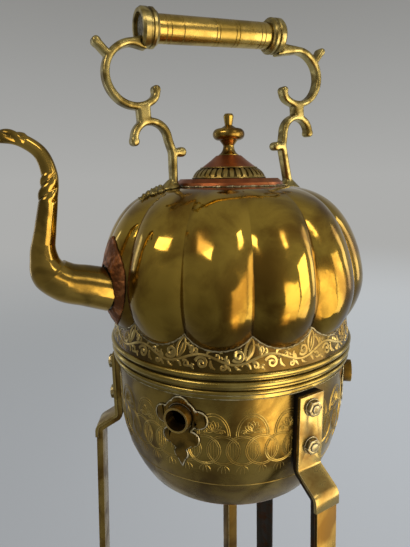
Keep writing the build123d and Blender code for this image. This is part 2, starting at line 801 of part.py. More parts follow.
core_end = grip_half_length - grip_core_recess
core_radius = grip_radius - grip_wall - fit_gap
with BuildPart() as grip_core:
    add(turned(1, [(-core_end, 0), (-core_end, core_radius), (core_end, core_radius), (core_end, 0)]))
save(grip_core.part, "grip_core")

for side_name, side in (("left", -1), ("right", 1)):
    half_plane = handle_plane(side)
    bore = grip_radius + fit_gap
    with BuildPart() as grip_ring:
        groove_radius = ring_radius - ring_bead_step
        ring_length = ring_end - ring_start
        add(turned(side, [
            (ring_start, bore),
            (ring_start, groove_radius - ring_bead_step / 2),
            (ring_start + 0.1 * ring_length, groove_radius),
            (ring_start + 0.2 * ring_length, ring_radius),
            (ring_start + 0.35 * ring_length, ring_radius),
            (ring_start + 0.4 * ring_length, groove_radius),
            (ring_start + 0.48 * ring_length, groove_radius),
            (ring_start + 0.55 * ring_length, ring_radius),
            (ring_end - 0.15 * ring_length, ring_radius),
            (ring_end, groove_radius),
            (ring_end, bore),
        ]))
    save(grip_ring.part, f"grip_ring_{side_name}")

    # Cast double scroll: arm and leaf, upper scroll, block, lower scroll, bud, upright and foot.
    pad_place = half_plane.from_local_coords((upright_foot, 0, 0))
    upper_centre = swayed(side, upper_scroll_out, upper_scroll_rise)
    lower_centre = swayed(side, lower_scroll_out, lower_scroll_rise)
    knee_place = swayed(side, knee_out, knee_rise)
    block_place = swayed(side, block_middle, (block_top + block_bottom) / 2)
    ring_place = grip_middle(side) + ring_end - scroll_width
    pad_bottom = equator_height + shoulder_height(upright_foot + foot_pad_radius)
    with BuildPart() as scroll:
        with BuildSketch(half_plane):
            with BuildLine():
                upper = CenterArc(upper_centre, upper_scroll_radius, upper_scroll_start_angle, -upper_scroll_turn_angle)
            trace(line_width=scroll_width)
            with BuildLine():
                inner_curl = JernArc(upper @ 1, upper % 1, curl_radius, -curl_turn_angle)
            trace(line_width=scroll_width)
            with BuildLine():
                arm = JernArc(upper @ 0, -(upper % 0), arm_radius, arm_turn_angle)
            trace(line_width=scroll_width)
            arm_end = arm @ 1
            with BuildLine():
                Polyline(
                    (arm_end.X, arm_end.Y - scroll_width / 2),
                    (ring_place, arm_end.Y - arm_flare / 2),
                    (ring_place, arm_end.Y + arm_flare / 2),
                    (arm_end.X, arm_end.Y + scroll_width / 2),
                    close=True,
                )
            make_face()
            leaf_tip = upper @ 0 + Vector(leaf_out, leaf_rise)
            with BuildLine():
                Line(upper @ 0, leaf_tip)
            trace(line_width=scroll_width)
            with Locations(leaf_tip, inner_curl @ 1):
                Circle(leaf_tip_radius)
            with Locations(block_place):
                Rectangle(block_width, block_top - block_bottom)
            with BuildLine():
                lower = CenterArc(lower_centre, lower_scroll_radius, lower_scroll_start_angle, lower_scroll_turn_angle)
            trace(line_width=scroll_width)
            with Locations(lower @ 0):
                Circle(lower_scroll_tip)
            with BuildLine():
                FilletPolyline(lower @ 1, knee_place, swayed(side, upright_foot, -upright_depth), radius=knee_radius)
            trace(line_width=scroll_width)
            with Locations((knee_place[0] - bud_reach, knee_place[1])):
                Circle(bud_radius)
                Rectangle(bud_reach, bud_neck, align=(Align.MIN, Align.CENTER))
        extrude(amount=scroll_depth / 2, both=True)
        with Locations((pad_place.X, pad_place.Y, pad_bottom)):
            Cone(foot_pad_radius, scroll_width / 2, foot_pad_height, align=(Align.CENTER, Align.CENTER, Align.MIN))
        add(kettle_outside.part, mode=Mode.SUBTRACT)
        add(mouth_ring.part, mode=Mode.SUBTRACT)
        add(grip_ring.part, mode=Mode.SUBTRACT)
        add(turned(side, [(0, 0), (0, bore), (grip_half_length, bore), (grip_half_length, 0)]), mode=Mode.SUBTRACT)
    save(scroll.part, f"handle_{side_name}")

# --- Lid ---
band_top = mouth_height + lid_band_height
with BuildPart() as lid_band:
    with BuildSketch(Plane.XZ):
        with BuildLine():
            slope = ThreePointArc(
                (lid_band_radius, mouth_height),
                ((lid_band_radius + lid_band_top_radius) / 2 + 1.3, mouth_height + lid_band_height / 2 + 1),
                (lid_band_top_radius, band_top),
            )
            Polyline(
                slope @ 1,
                (lid_band_top_radius - 3, band_top),
                (lid_band_radius - 5.5, mouth_height),
                slope @ 0,
            )
        make_face()
    revolve(axis=Axis.Z)
    for flute in range(flute_count):
        flute_side = side_plane(flute * 360 / flute_count)
        with BuildSketch(Plane(
            origin=flute_side.from_local_coords((lid_band_radius + 0.9, mouth_height + 0.8, 0)),
            z_dir=flute_side.x_dir * (lid_band_top_radius - lid_band_radius) + Vector(0, 0, lid_band_height - 1.5),
        )):
            Circle(flute_radius)
        extrude(amount=1.5 * lid_band_height, mode=Mode.SUBTRACT)
save(lid_band.part, "lid_band")

with BuildPart() as lid_cone:
    with BuildSketch(Plane.XZ):
        with BuildLine():
            flank = ThreePointArc(
                (lid_band_top_radius + 0.6, band_top),
                (cone_waist_radius, band_top + 0.56 * cone_height),
                (cone_top_radius, lid_top),
            )
            Polyline(
                flank @ 1,
                (stud_radius + fit_gap, lid_top),
                (stud_radius + fit_gap, lid_top - lid_wall),
                (cone_top_radius - 0.5, lid_top - lid_wall),
                (lid_band_top_radius - 2.4, band_top),
                flank @ 0,
            )
        make_face()
    revolve(axis=Axis.Z)
save(lid_cone.part, "lid_cone")

lid_skirt_radius = mouth_radius - lid_skirt_clearance
with BuildPart() as lid_skirt:
    with BuildSketch(Plane.XY.offset(mouth_height)):
        Circle(lid_skirt_radius)
        Circle(lid_skirt_radius - lid_wall, mode=Mode.SUBTRACT)
    extrude(amount=-lid_skirt_depth)
save(lid_skirt.part, "lid_skirt")

# Turned finial: spreading foot, neck, flattened bulb and a flared pin; its stud goes through the cone.
finial_neck_height = lid_top + finial_neck_rise
finial_bulb_height = lid_top + finial_bulb_rise
finial_pin_height = lid_top + finial_pin_rise
finial_top = lid_top + finial_rise
stud_bottom = lid_top - lid_wall - 6
with BuildPart() as finial:
    with BuildSketch(Plane.XZ):
        with BuildLine():
            foot_curve = ThreePointArc(
                (finial_base_radius, lid_top + 0.8),
                (finial_neck_radius + 1, lid_top + 4.2),
                (finial_neck_radius, finial_neck_height),
            )
            bulb = ThreePointArc(
                (finial_neck_radius + 3.5, finial_bulb_height - 5),
                (finial_bulb_radius, finial_bulb_height),
                (finial_neck_radius + 3, finial_bulb_height + 5),
            )
            Line(foot_curve @ 1, bulb @ 0)
            Polyline(
                bulb @ 1,
                (finial_pin_radius, finial_pin_height),
                (finial_tip_radius, finial_top - 2),
                (finial_tip_radius - 1.2, finial_top),
                (0, finial_top),
                (0, stud_bottom),
                (stud_radius, stud_bottom),
                (stud_radius, lid_top),
                (finial_base_radius, lid_top),
                foot_curve @ 0,
            )
        make_face()
    revolve(axis=Axis.Z)
save(finial.part, "finial")

with BuildPart() as finial_nut:
    with BuildSketch(Plane.XY.offset(lid_top - lid_wall)):
        RegularPolygon(4.5, 6, major_radius=False)
        Circle(stud_radius + fit_gap, mode=Mode.SUBTRACT)
    extrude(amount=-4)
save(finial_nut.part, "finial_nut")
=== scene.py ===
"""Spirit kettle on its stand: finished surfaces, ornament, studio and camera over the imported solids."""
from functools import partial
from math import cos, hypot, pi, radians, sin, sqrt

import bpy
import numpy as np
from mathutils import Matrix, Vector


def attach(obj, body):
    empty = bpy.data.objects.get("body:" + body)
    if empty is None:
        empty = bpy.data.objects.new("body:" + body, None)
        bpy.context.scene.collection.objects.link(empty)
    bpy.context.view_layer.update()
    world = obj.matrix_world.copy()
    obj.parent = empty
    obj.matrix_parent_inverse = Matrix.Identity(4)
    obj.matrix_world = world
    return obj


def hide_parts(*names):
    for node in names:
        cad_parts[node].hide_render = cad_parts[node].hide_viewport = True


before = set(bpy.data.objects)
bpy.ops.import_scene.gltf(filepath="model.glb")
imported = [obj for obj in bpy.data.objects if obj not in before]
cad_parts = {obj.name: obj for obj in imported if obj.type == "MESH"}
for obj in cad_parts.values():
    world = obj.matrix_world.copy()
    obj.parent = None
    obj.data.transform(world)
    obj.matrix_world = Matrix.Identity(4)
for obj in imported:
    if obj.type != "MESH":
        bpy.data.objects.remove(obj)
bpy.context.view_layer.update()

bl_info = {
    "name": "Spirit Kettle",
    "version": (1, 0, 0),
    "blender": (4, 5, 0),
    "location": "View3D > Sidebar > Kettle",
    "description": "Dresses a lobed brass kettle and its fire-bowl stand",
    "category": "Object",
}

MM = 0.001

# --- Sizes shared with the solids, in millimetres ---
EQUATOR = 509.0             # height of the kettle's widest place
CREST = 123.0               # radius of the lobes' crests there
LOBES = 13
LOBE_DEPTH = 9.0
BELLY_DEPTH = 85.0
SHOULDER_RISE = 82.75
SHOULDER_POWERS = (1.5, 4.57)       # of the rounded shoulder's outline, upwards and inwards
BEAD_TOP = 455.0            # top of the kettle's bead, where the collar starts
COLLAR_TOP = 490.0
COLLAR_FOOT = 113.2
COLLAR_SLOPE = 0.2          # how much the collar narrows for each millimetre of height
BOWL_RADIUS = 109.3
BOWL_BEND = 392.0           # height at which the bowl's wall starts to curve in
BOWL_CURVE = 131.0
LEG_ANGLES = (39.5, 154.0, 274.0)
PORT_ANGLES = (94.0, 219.0, 323.0)
PORT_LEVEL = 413.5
MOUTH_HEIGHT = 597.5
HANDLE_FOOT = 597.0
HANDLE_OFFSET = 5.0
HANDLE_LEAN = radians(3.7)
GRIP_RISE = 124.0
GRIP_SHIFT = -11.4          # grip's middle along the handle's plane
# Spout's middle line, out from the crests and up from the equator, and its radii at even steps along it.
SPOUT_LINE = (
    (-16, -6), (13, 3), (31, 8.5), (42.5, 18), (45.5, 32), (42.5, 52),
    (38.5, 74), (36, 94), (41.5, 110), (54, 118.8), (80, 121),
)
SPOUT_RADII = (19.2, 18.5, 17.8, 17, 16.4, 15.3, 11.2, 9, 8.2, 7.6, 7, 6.4, 5.8, 5.3, 5, 4.7, 4.6)

# --- Places that the ornament keeps to, in millimetres ---
STRAP_COVER = 12.0          # half of the wall's width that a strap hides
# Circles that cover a tube's plate on one side: across and up from the tube, and radius.
PLATE_COVER = ((0, 0, 14), (0, 9, 8), (15.5, -1, 7.5), (9.5, -18.5, 6.5), (0, -19, 10.5), (0, -33, 6))
BORDER_LEVEL = 351.5        # height of the line that ends the bowl's ornament
LOBE_EDGE_SPAN = (458.0, 489.0)     # heights between which the lobes run out over the collar
# Dents in the lobes: centre, radius and depth.
DENTS = (
    ((-97.6, -71.9, 540.0), 13, 1.1), ((-82.1, -85.9, 524.0), 9, 0.8), ((-60, -104, 529.0), 11, 0.7),
    ((20.0, -119.0, 500.0), 14, 0.8), ((96, 70, 520.0), 16, 1.0), ((-20, 119, 530.0), 12, 0.9),
)

# --- What every metal shares ---
SPOT_SIZE = 1.8             # size of the small spots in its film, in millimetres
GRIME_ROUGHNESS = 0.62
GRIME_METAL = 0.55          # how metallic grime looks, as a share of the clean metal
EDGE_HIGHLIGHT_REACH = 0.9            # how far the painted edge highlight spreads from a sharp edge, in millimetres
GROUND_OPENNESS = 0.64      # of the collar's matted ground, where 1 is free of grime

# --- Studio, in metres, degrees and, for the camera, radians ---
TARGET = (0, 0, 0.5)        # what the lamps point at
TO_CAMERA = 240             # direction from the kettle to the camera
RIGHTWARD = (0.866, -0.5, 0)        # as the camera sees it
BEHIND = (0.45, 0.89, 0)
CAMERA_PLACE = (-0.2105, -0.3646, 0.5985)
CAMERA_HEADING = radians(60) + 0.0558
CAMERA_PITCH = 0.2132
CAMERA_ROLL = -0.0157
CAMERA_LENS = 29.09         # millimetres, for a sensor 36 millimetres wide


def linear(code):
    """An sRGB hex colour as linear red, green and blue."""
    parts = [int(code[start:start + 2], 16) / 255 for start in (1, 3, 5)]
    return tuple(part / 12.92 if part <= 0.04045 else ((part + 0.055) / 1.055) ** 2.4 for part in parts)


def rgba(colour):
    """A socket's colour, from a hex code or from a colour that is linear already."""
    return (*(linear(colour) if isinstance(colour, str) else colour), 1)


class KettleSizes(bpy.types.PropertyGroup):
    """Sizes of what is worked into the surfaces."""
    relief: bpy.props.FloatProperty(
        name="Relief", description="Height of the collar's scrollwork over its ground",
        default=0.42 * MM, min=0.05 * MM, max=1 * MM, unit="LENGTH")
    line: bpy.props.FloatProperty(
        name="Bowl lines", description="Half-width of the lines of the bowl's ornament",
        default=0.5 * MM, min=0.1 * MM, max=1 * MM, unit="LENGTH")
    easing: bpy.props.FloatProperty(
        name="Worn edges", description="Rounding of the edges of straps, nuts, post and stretchers",
        default=0.5 * MM, min=0.1 * MM, max=1 * MM, unit="LENGTH")
    floor: bpy.props.FloatProperty(
        name="Floor", description="Radius of the floor", default=9.0, min=2, max=30, unit="LENGTH")


class KettleColours(bpy.types.PropertyGroup):
    """Colours of the metals and of the studio."""
    brass: bpy.props.FloatVectorProperty(
        name="Polished brass", description="Brass of the draught tubes where it is rubbed clean",
        default=linear("#B99848"), min=0, max=1, subtype="COLOR")
    tarnish: bpy.props.FloatVectorProperty(
        name="Tarnish", description="Brass of the draught tubes under its brown film",
        default=linear("#7E6126"), min=0, max=1, subtype="COLOR")
    # Dark colour of grime, also laid as painted shade in every corner and recess that ambient occlusion
    # finds.
    grime_and_shade: bpy.props.FloatVectorProperty(
        name="Grime", description="Old polish and soot in the corners",
        default=linear("#1E1A10"), min=0, max=1, subtype="COLOR")
    copper: bpy.props.FloatVectorProperty(
        name="Copper", description="Rubbed copper of the spout's plate",
        default=linear("#A86E44"), min=0, max=1, subtype="COLOR")
    copper_oxide: bpy.props.FloatVectorProperty(
        name="Copper oxide", description="Red-brown film on the spout's plate",
        default=linear("#70482C"), min=0, max=1, subtype="COLOR")
    iron: bpy.props.FloatVectorProperty(
        name="Iron", description="Blackened iron of the leg bars",
        default=linear("#38342E"), min=0, max=1, subtype="COLOR")
    solder: bpy.props.FloatVectorProperty(
        name="Solder", description="Tin solder at the joints",
        default=linear("#A9A083"), min=0, max=1, subtype="COLOR")
    floor: bpy.props.FloatVectorProperty(
        name="Floor", description="Paper under the kettle",
        default=linear("#C2C6C9"), min=0, max=1, subtype="COLOR")


# --- Materials ---


def add_node(tree, kind, sockets=None, stops=None, **settings):
    """A node with its settings.

    A socket is given a value, or what it is linked to: another node's output, or that node, for its live one.
    """
    made = tree.nodes.new("ShaderNode" + kind)
    for key, value in settings.items():
        setattr(made, key, value)
    for key, value in (sockets or {}).items():
        if isinstance(value, bpy.types.Node):
            value = next(output for output in value.outputs if output.enabled)
        if isinstance(value, bpy.types.NodeSocket):
            tree.links.new(value, made.inputs[key])
        else:
            made.inputs[key].default_value = value
    if stops:
        elements = made.color_ramp.elements
        while len(elements) < len(stops):
            elements.new(0.5)
        for element, (position, colour) in zip(elements, stops):
            element.position = position
            element.color = rgba(colour)
    return made


def emptied(holder):
    """The tree of a new material or world, with its nodes cleared away."""
    holder.use_nodes = True
    holder.node_tree.nodes.clear()
    return holder.node_tree


def worked_metal(
    name, clean, film, grime_and_shade=None, blotch=34, film_share=(0.40, 0.66), mottle=0.06, painted_low_shade=None, reach=6,
    grime_and_shade_share=(0.30, 0.80), collar=False, edge=None, roughness=(0.16, 0.32), streak=0.12,
    lines=(60, 60, 1300), metal=1, ripple=0.5, ripple_size=34, line_depth=0.008, dents=(), pits=0,
):
    """A metal with blotched tarnish, dirt and painted shade in corners, hammer ripples and rubbing lines.

    Sizes are in millimetres. clean and film are the metal's two colours, blotch is the size of the film's
    blotches, film_share where their noise turns from one to the other, and mottle how far spots break them
    up. A veil of painted shade can darken the lower part, standing in for the dark room mirrored there: its
    two heights, its most and its colour. Grime and painted shade darken the corners, creases and recesses
    that ambient occlusion finds, as far as reach from them, over the openness of grime_and_shade_share, and
    collar lays the same dark colour on the collar's ground too. edge is the share and the colour of a pale
    painted highlight on sharp edges. roughness is for clean and for filmed metal, and streak what the rubbing
    lines add to it. lines is how many there are to a metre along each axis; real ones are finer, and wouldn't
    show.
    metal is the metallic share. ripple, line_depth and pits are heights, and each of dents has a centre, a
    radius and a depth.
    """
    if grime_and_shade is None:
        grime_and_shade = bpy.context.scene.kettle_colours.grime_and_shade
    made = bpy.data.materials.new(name)
    add = partial(add_node, emptied(made))
    place = add("TexCoord").outputs["Object"]
    blotches = add("TexNoise", {
        "Vector": place, "Scale": 1 / (blotch * MM), "Detail": 4, "Roughness": 0.5, "Distortion": 0.6})
    spots = add("TexNoise", {"Vector": place, "Scale": 1 / (SPOT_SIZE * MM), "Detail": 3, "Roughness": 0.6})
    fine = add("Math", {0: spots, 1: mottle, 2: -mottle / 2}, operation="MULTIPLY_ADD")
    mottled = add("Math", {0: blotches, 1: fine}, operation="ADD")
    film_mask = add("MapRange", {"Value": mottled, "From Min": film_share[0], "From Max": film_share[1]},
                    interpolation_type="SMOOTHSTEP")
    colour = add("Mix", {0: film_mask, 6: rgba(clean), 7: rgba(film)}, data_type="RGBA")
    # A veil of painted shade darkens the lower part, standing in for the dark room that it mirrors.
    if painted_low_shade:
        low, high, most, dark = painted_low_shade
        level = add("SeparateXYZ", {0: place}).outputs["Z"]
        low_shade_share = add("MapRange", {
            "Value": level, "From Min": low * MM, "From Max": high * MM, "To Min": most, "To Max": 0},
            interpolation_type="SMOOTHSTEP")
        drift = add("MapRange", {
            "Value": blotches, "From Min": 0.3, "From Max": 0.7, "To Min": 0.6, "To Max": 1.1})
        veil = add("Math", {0: low_shade_share, 1: drift}, operation="MULTIPLY", use_clamp=True)
        colour = add("Mix", {0: veil, 6: colour, 7: rgba(dark)}, data_type="RGBA")
    # Grime and painted shade: ambient occlusion darkens the corners, creases and recesses where shade falls.
    corners = add("AmbientOcclusion", {"Distance": reach * MM}, samples=6)
    ragged = add("Math", {0: spots, 1: 0.25, 2: -0.125}, operation="MULTIPLY_ADD")
    uneven = add("Math", {0: corners.outputs["AO"], 1: ragged}, operation="ADD")
    open_share = add("MapRange", {"Value": uneven, "From Min": grime_and_shade_share[0], "From Max": grime_and_shade_share[1]},
                     interpolation_type="SMOOTHSTEP")
    if collar:
        # The collar is the strip of the body that lies on its cone; its matted ground holds the grime.
        height = add("SeparateXYZ", {0: place}).outputs["Z"]
        out = add("VectorMath", {0: place, 1: (1, 1, 0)}, operation="MULTIPLY")
        radius = add("VectorMath", {0: out}, operation="LENGTH")
        cone = add("Math", {0: height, 1: -COLLAR_SLOPE, 2: COLLAR_FOOT * MM + COLLAR_SLOPE * BEAD_TOP * MM},
                   operation="MULTIPLY_ADD")
        gap = add("Math", {0: radius, 1: cone}, operation="SUBTRACT")
        apart = add("Math", {0: gap}, operation="ABSOLUTE")
        above = add("MapRange", {
            "Value": height, "From Min": COLLAR_TOP * MM, "From Max": (COLLAR_TOP + 1) * MM, "To Max": MM})
        off_cone = add("Math", {0: apart, 1: above}, operation="ADD")
        ground = add("MapRange", {
            "Value": off_cone, "From Min": 0.15 * MM, "From Max": 0.5 * MM,
            "To Min": GROUND_OPENNESS, "To Max": 1})
        open_share = add("Math", {0: open_share, 1: ground}, operation="MULTIPLY")
    colour = add("Mix", {0: open_share, 6: rgba(grime_and_shade), 7: colour}, data_type="RGBA")
    # Sharp edges are painted pale: a painted highlight where they catch the light.
    if edge:
        share, pale = edge
        rounded = add("Bevel", {"Radius": EDGE_HIGHLIGHT_REACH * MM}, samples=4)
        flat = add("NewGeometry").outputs["Normal"]
        level = add("VectorMath", {0: rounded, 1: flat}, operation="DOT_PRODUCT")
        rubbed = add("MapRange", {"Value": level, "From Min": 0.995, "From Max": 0.90, "To Max": share})
        colour = add("Mix", {0: rubbed, 6: colour, 7: rgba(pale)}, data_type="RGBA")
    stretched = add("Mapping", {"Vector": place, "Scale": lines})
    rubbing = add("TexNoise", {"Vector": stretched, "Scale": 1, "Detail": 4, "Roughness": 0.7})
    gloss = add("MapRange", {"Value": film_mask, "To Min": roughness[0], "To Max": roughness[1]})
    streaked = add("Math", {0: rubbing, 1: streak, 2: gloss}, operation="MULTIPLY_ADD")
    dirt_and_shade = add("MapRange", {"Value": open_share, "To Min": GRIME_ROUGHNESS, "To Max": 0})
    rough = add("Math", {0: dirt_and_shade, 1: streaked}, operation="MAXIMUM")
    metallic = add("MapRange", {"Value": open_share, "To Min": GRIME_METAL * metal, "To Max": metal})
    waves = add("TexNoise", {
        "Vector": place, "Scale": 1 / (ripple_size * MM), "Detail": 2, "Roughness": 0.45})
    heights = [(waves, ripple), (rubbing, line_depth)]
    for centre, size, depth in dents:
        away = add("VectorMath", {0: place, 1: tuple(part * MM for part in centre)}, operation="DISTANCE")
        dent = add("MapRange", {"Value": away, "From Max": size * MM}, interpolation_type="SMOOTHERSTEP")
        heights.append((dent, depth))
    if pits:
        heights.append((spots, pits))
    below = {}
    for height, depth in heights:
        bump = add("Bump", {"Height": height, "Distance": depth * MM, "Strength": 1, **below})
        below = {"Normal": bump}
    shader = add("BsdfPrincipled", {"Base Color": colour, "Metallic": metallic, "Roughness": rough, **below})
    add("OutputMaterial", {"Surface": shader})
    return made


# --- Pieces ---


def dressed(material, *nodes):
    """Give carried-over nodes this finish."""
    for name in nodes:
        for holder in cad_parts[name].material_slots:
            holder.material = material


def select_only(piece=None):
    """Leave only this piece selected, or nothing, so that the next operator acts on it alone."""
    if bpy.context.object and bpy.context.object.mode != "OBJECT":
        bpy.ops.object.mode_set(mode="OBJECT")
    bpy.ops.object.select_all(action="DESELECT")
    if piece:
        bpy.context.view_layer.objects.active = piece
        piece.select_set(True)


def settled(piece, body, material, smooth=40, edge=None):
    """Apply a piece's place, shade it, dress it and let it ride.

    Edges flatter than smooth, in degrees, are shaded round, and with 0 all of them are. edge is the finish of
    the faces that eased made.
    """
    piece.data.name = piece.name
    select_only(piece)
    bpy.ops.object.transform_apply(location=True, rotation=True, scale=True)
    if smooth:
        bpy.ops.object.shade_smooth_by_angle(angle=radians(smooth))
    else:
        piece.data.shade_smooth()
    places = np.zeros(len(piece.data.polygons), dtype=np.int32)
    piece.data.polygons.foreach_get("material_index", places)
    piece.data.materials.clear()
    piece.data.materials.append(material)
    if edge:
        piece.data.materials.append(edge)
    piece.data.polygons.foreach_set("material_index", np.minimum(places, 1 if edge else 0))
    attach(piece, body)


def tidy_mesh(piece, reach=0.002):
    """Merge doubles within this reach, in millimetres, and turn the faces outwards."""
    select_only(piece)
    bpy.ops.object.mode_set(mode="EDIT")
    bpy.ops.mesh.select_all(action="SELECT")
    bpy.ops.mesh.remove_doubles(threshold=reach * MM)
    bpy.ops.mesh.normals_make_consistent(inside=False)
    bpy.ops.object.mode_set(mode="OBJECT")


def formed(name, columns, rows, place):
    """A grid bent into shape; place turns shares across and along into points in millimetres."""
    select_only()
    bpy.ops.mesh.primitive_grid_add(x_subdivisions=columns, y_subdivisions=rows, size=1)
    piece = bpy.context.object
    piece.name = name
    flat = np.empty(len(piece.data.vertices) * 3)
    piece.data.vertices.foreach_get("co", flat)
    flat = flat.reshape(-1, 3)
    bent = place(flat[:, 0] + 0.5, flat[:, 1] + 0.5)
    piece.data.vertices.foreach_set("co", (np.asarray(bent) * MM).ravel())
    piece.data.update()
    tidy_mesh(piece)
    return piece


def turned(name, profile, steps, place):
    """A closed ring spun upright from (radius, height) corners in millimetres, then placed."""
    select_only()
    bpy.ops.mesh.primitive_plane_add(size=MM)
    piece = bpy.context.object
    piece.name = name
    bpy.ops.object.mode_set(mode="EDIT")
    bpy.ops.mesh.merge(type="CENTER")
    radius, height = profile[0]
    bpy.ops.transform.translate(value=(radius * MM, 0, height * MM))
    for before, after in zip(profile, profile[1:]):
        step = ((after[0] - before[0]) * MM, 0, (after[1] - before[1]) * MM)
        bpy.ops.mesh.extrude_vertices_move(TRANSFORM_OT_translate={"value": step})
    bpy.ops.mesh.select_all(action="SELECT")
    bpy.ops.mesh.spin(steps=steps, angle=2 * pi, center=(0, 0, 0), axis=(0, 0, 1))
    bpy.ops.object.mode_set(mode="OBJECT")
    tidy_mesh(piece)
    piece.matrix_world = place
    return piece


def strands(name, lines, sides=2, closed=False):
    """Round strands along lines of (x, y, z, radius) in millimetres, as one mesh."""
    select_only()
    curve = bpy.data.curves.new(name, "CURVE")
    curve.dimensions = "3D"
    curve.bevel_depth = MM
    curve.bevel_resolution = sides
    curve.use_fill_caps = True
    for line in lines:
        spline = curve.splines.new("POLY")
        spline.points.add(len(line) - 1)
        for point, (x, y, z, radius) in zip(spline.points, line):
            point.co = (x * MM, y * MM, z * MM, 1)
            point.radius = radius
        spline.use_cyclic_u = closed
    piece = bpy.data.objects.new(name, curve)
    bpy.context.scene.collection.objects.link(piece)
    select_only(piece)
    bpy.ops.object.convert(target="MESH")
    return bpy.context.object


def copied(node, name):
    """A merged copy of a carried-over node, to be worked on."""
    piece = bpy.data.objects.new(name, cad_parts[node].data.copy())
    bpy.context.scene.collection.objects.link(piece)
    tidy_mesh(piece, 0.01)
    return piece


def applied(piece, kind, **settings):
    """Add a modifier with its settings and apply it."""
    select_only(piece)
    modifier = piece.modifiers.new(kind.title(), kind)
    for key, value in settings.items():
        setattr(modifier, key, value)
    bpy.ops.object.modifier_apply(modifier=modifier.name)


def pressed(piece, grain, depth):
    """Press an uneven skin of this grain and depth, in millimetres, into a piece."""
    skin = bpy.data.textures.new(piece.name + "_skin", "CLOUDS")
    skin.noise_scale = grain * MM
    applied(piece, "DISPLACE", texture=skin, texture_coords="LOCAL", strength=depth * MM, mid_level=0.5)


def eased(node, name, width, clamp=True):
    """A copy of a node that stands for it, with its sharp edges rounded by wear in a finish of their own."""
    piece = copied(node, name)
    piece.data.materials.append(None)
    bpy.ops.object.mode_set(mode="EDIT")
    bpy.ops.mesh.select_all(action="SELECT")
    bpy.ops.mesh.dissolve_limited(angle_limit=radians(0.5))
    bpy.ops.object.mode_set(mode="OBJECT")
    applied(piece, "BEVEL", width=width, segments=2, limit_method="ANGLE", angle_limit=radians(40),
            use_clamp_overlap=clamp, material=1)
    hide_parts(node)
    return piece


def cast(node, name, voxel, passes, plump=0.0, lumps=0.0):
    """A copy of a node that stands for it, soft-edged as a casting is; sizes are in millimetres.

    It is built again from voxels, grown by plump to make up for what smoothing takes, smoothed in so many
    passes, and given lumps.
    """
    piece = copied(node, name)
    applied(piece, "REMESH", mode="VOXEL", voxel_size=voxel * MM, use_smooth_shade=True)
    if plump:
        applied(piece, "DISPLACE", strength=plump * MM, mid_level=0)
    applied(piece, "SMOOTH", factor=0.5, iterations=passes)
    if lumps:
        pressed(piece, grain=3.5, depth=lumps)
    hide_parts(node)
    return piece


# --- Forms shared by the pieces, in millimetres and degrees ---


def around(radius, angle, height):
    return (radius * cos(radians(angle)), radius * sin(radians(angle)), height)


def halved(low, high, holds, passes):
    """Where a condition that holds at low stops holding on the way to high."""
    for _ in range(passes):
        middle = (low + high) / 2
        low, high = (middle, high) if holds(middle) else (low, middle)
    return low


def crest_radius(height):
    """Radius of the lobes' crests at this height."""
    rise = height - EQUATOR
    if rise > 0:
        upwards, inwards = SHOULDER_POWERS
        return CREST * (1 - (rise / SHOULDER_RISE) ** upwards) ** (1 / inwards)
    return CREST * sqrt(1 - (rise / BELLY_DEPTH) ** 2)


def body_radius(angle, height):
    """Radius of the lobed body in this direction and at this height."""
    half = pi / LOBES
    away = radians((angle - 180 + 180 / LOBES) % (360 / LOBES)) - half
    crest = crest_radius(height)
    depth = LOBE_DEPTH * (crest / CREST) ** 3 if height > EQUATOR else LOBE_DEPTH
    crease = crest - depth
    middle = (crest**2 - crease**2) / (2 * (crest - crease * cos(half)))
    return middle * cos(away) + sqrt((crest - middle) ** 2 - (middle * sin(away)) ** 2)


def body_height(angle, radius):
    """Height of the shoulder in this direction at this radius."""
    top = EQUATOR + SHOULDER_RISE - 0.01
    return halved(EQUATOR, top, lambda height: body_radius(angle, height) > radius, 40)


def collar_radius(height):
    return COLLAR_FOOT - COLLAR_SLOPE * (height - BEAD_TOP)


def lobe_edge_height(angle):
    """Height at which the lobes run out over the collar in this direction."""
    return halved(*LOBE_EDGE_SPAN, lambda height: body_radius(angle, height) <= collar_radius(height), 30)


def bowl_radius(height):
    """Outside radius of the fire bowl's wall at this height."""
    if height >= BOWL_BEND:
        return BOWL_RADIUS
    return BOWL_RADIUS - BOWL_CURVE + sqrt(BOWL_CURVE**2 - (BOWL_BEND - height) ** 2)


def wall_gap(angle, other):
    """Way along the bowl's wall from one direction to another."""
    return ((angle - other + 180) % 360 - 180) * pi / 180 * BOWL_RADIUS


def handle_place(along, height):
    """Point of the handle's leaning plane."""
    return (
        HANDLE_OFFSET + along * cos(HANDLE_LEAN) - height * sin(HANDLE_LEAN),
        0,
        HANDLE_FOOT + along * sin(HANDLE_LEAN) + height * cos(HANDLE_LEAN),
    )


# --- Strokes of the ornament: points across, up and thickness, in millimetres ---


def arc(centre, half, rise, count):
    """Points of an ellipse at steps of a twenty-fourth of its half."""
    return [(centre[0] + half * cos(turn * pi / 24), centre[1] + rise * sin(turn * pi / 24), 1)
            for turn in range(count)]


def spiral(centre, start, radius, turns, width, steps):
    """A scroll that winds in round its centre; a negative number of turns winds the other way."""
    wound, thinned = 0.82, 0.35         # shares of its radius and of its width that are gone at its end
    line = []
    for step in range(steps + 1):
        share = step / steps
        angle = radians(start) + 2 * pi * turns * share
        reach = radius * (1 - wound * share**0.8)
        line.append((
            centre[0] + reach * cos(angle),
            centre[1] + reach * sin(angle),
            width * (1 - thinned * share),
        ))
    return line


def sprig(start, end, bow, width):
    """A short bowed stroke, thick in the middle and thin at its ends."""
    tip, swell = 0.35, 2.6              # thickness of its ends, and what its middle gains, as shares of width
    run = (end[0] - start[0], end[1] - start[1])
    line = []
    for step in range(9):
        share = step / 8
        side = bow * 4 * share * (1 - share)
        line.append((
            start[0] + run[0] * share - run[1] * side,
            start[1] + run[1] * share + run[0] * side,
            width * (tip + swell * share * (1 - share)),
        ))
    return line


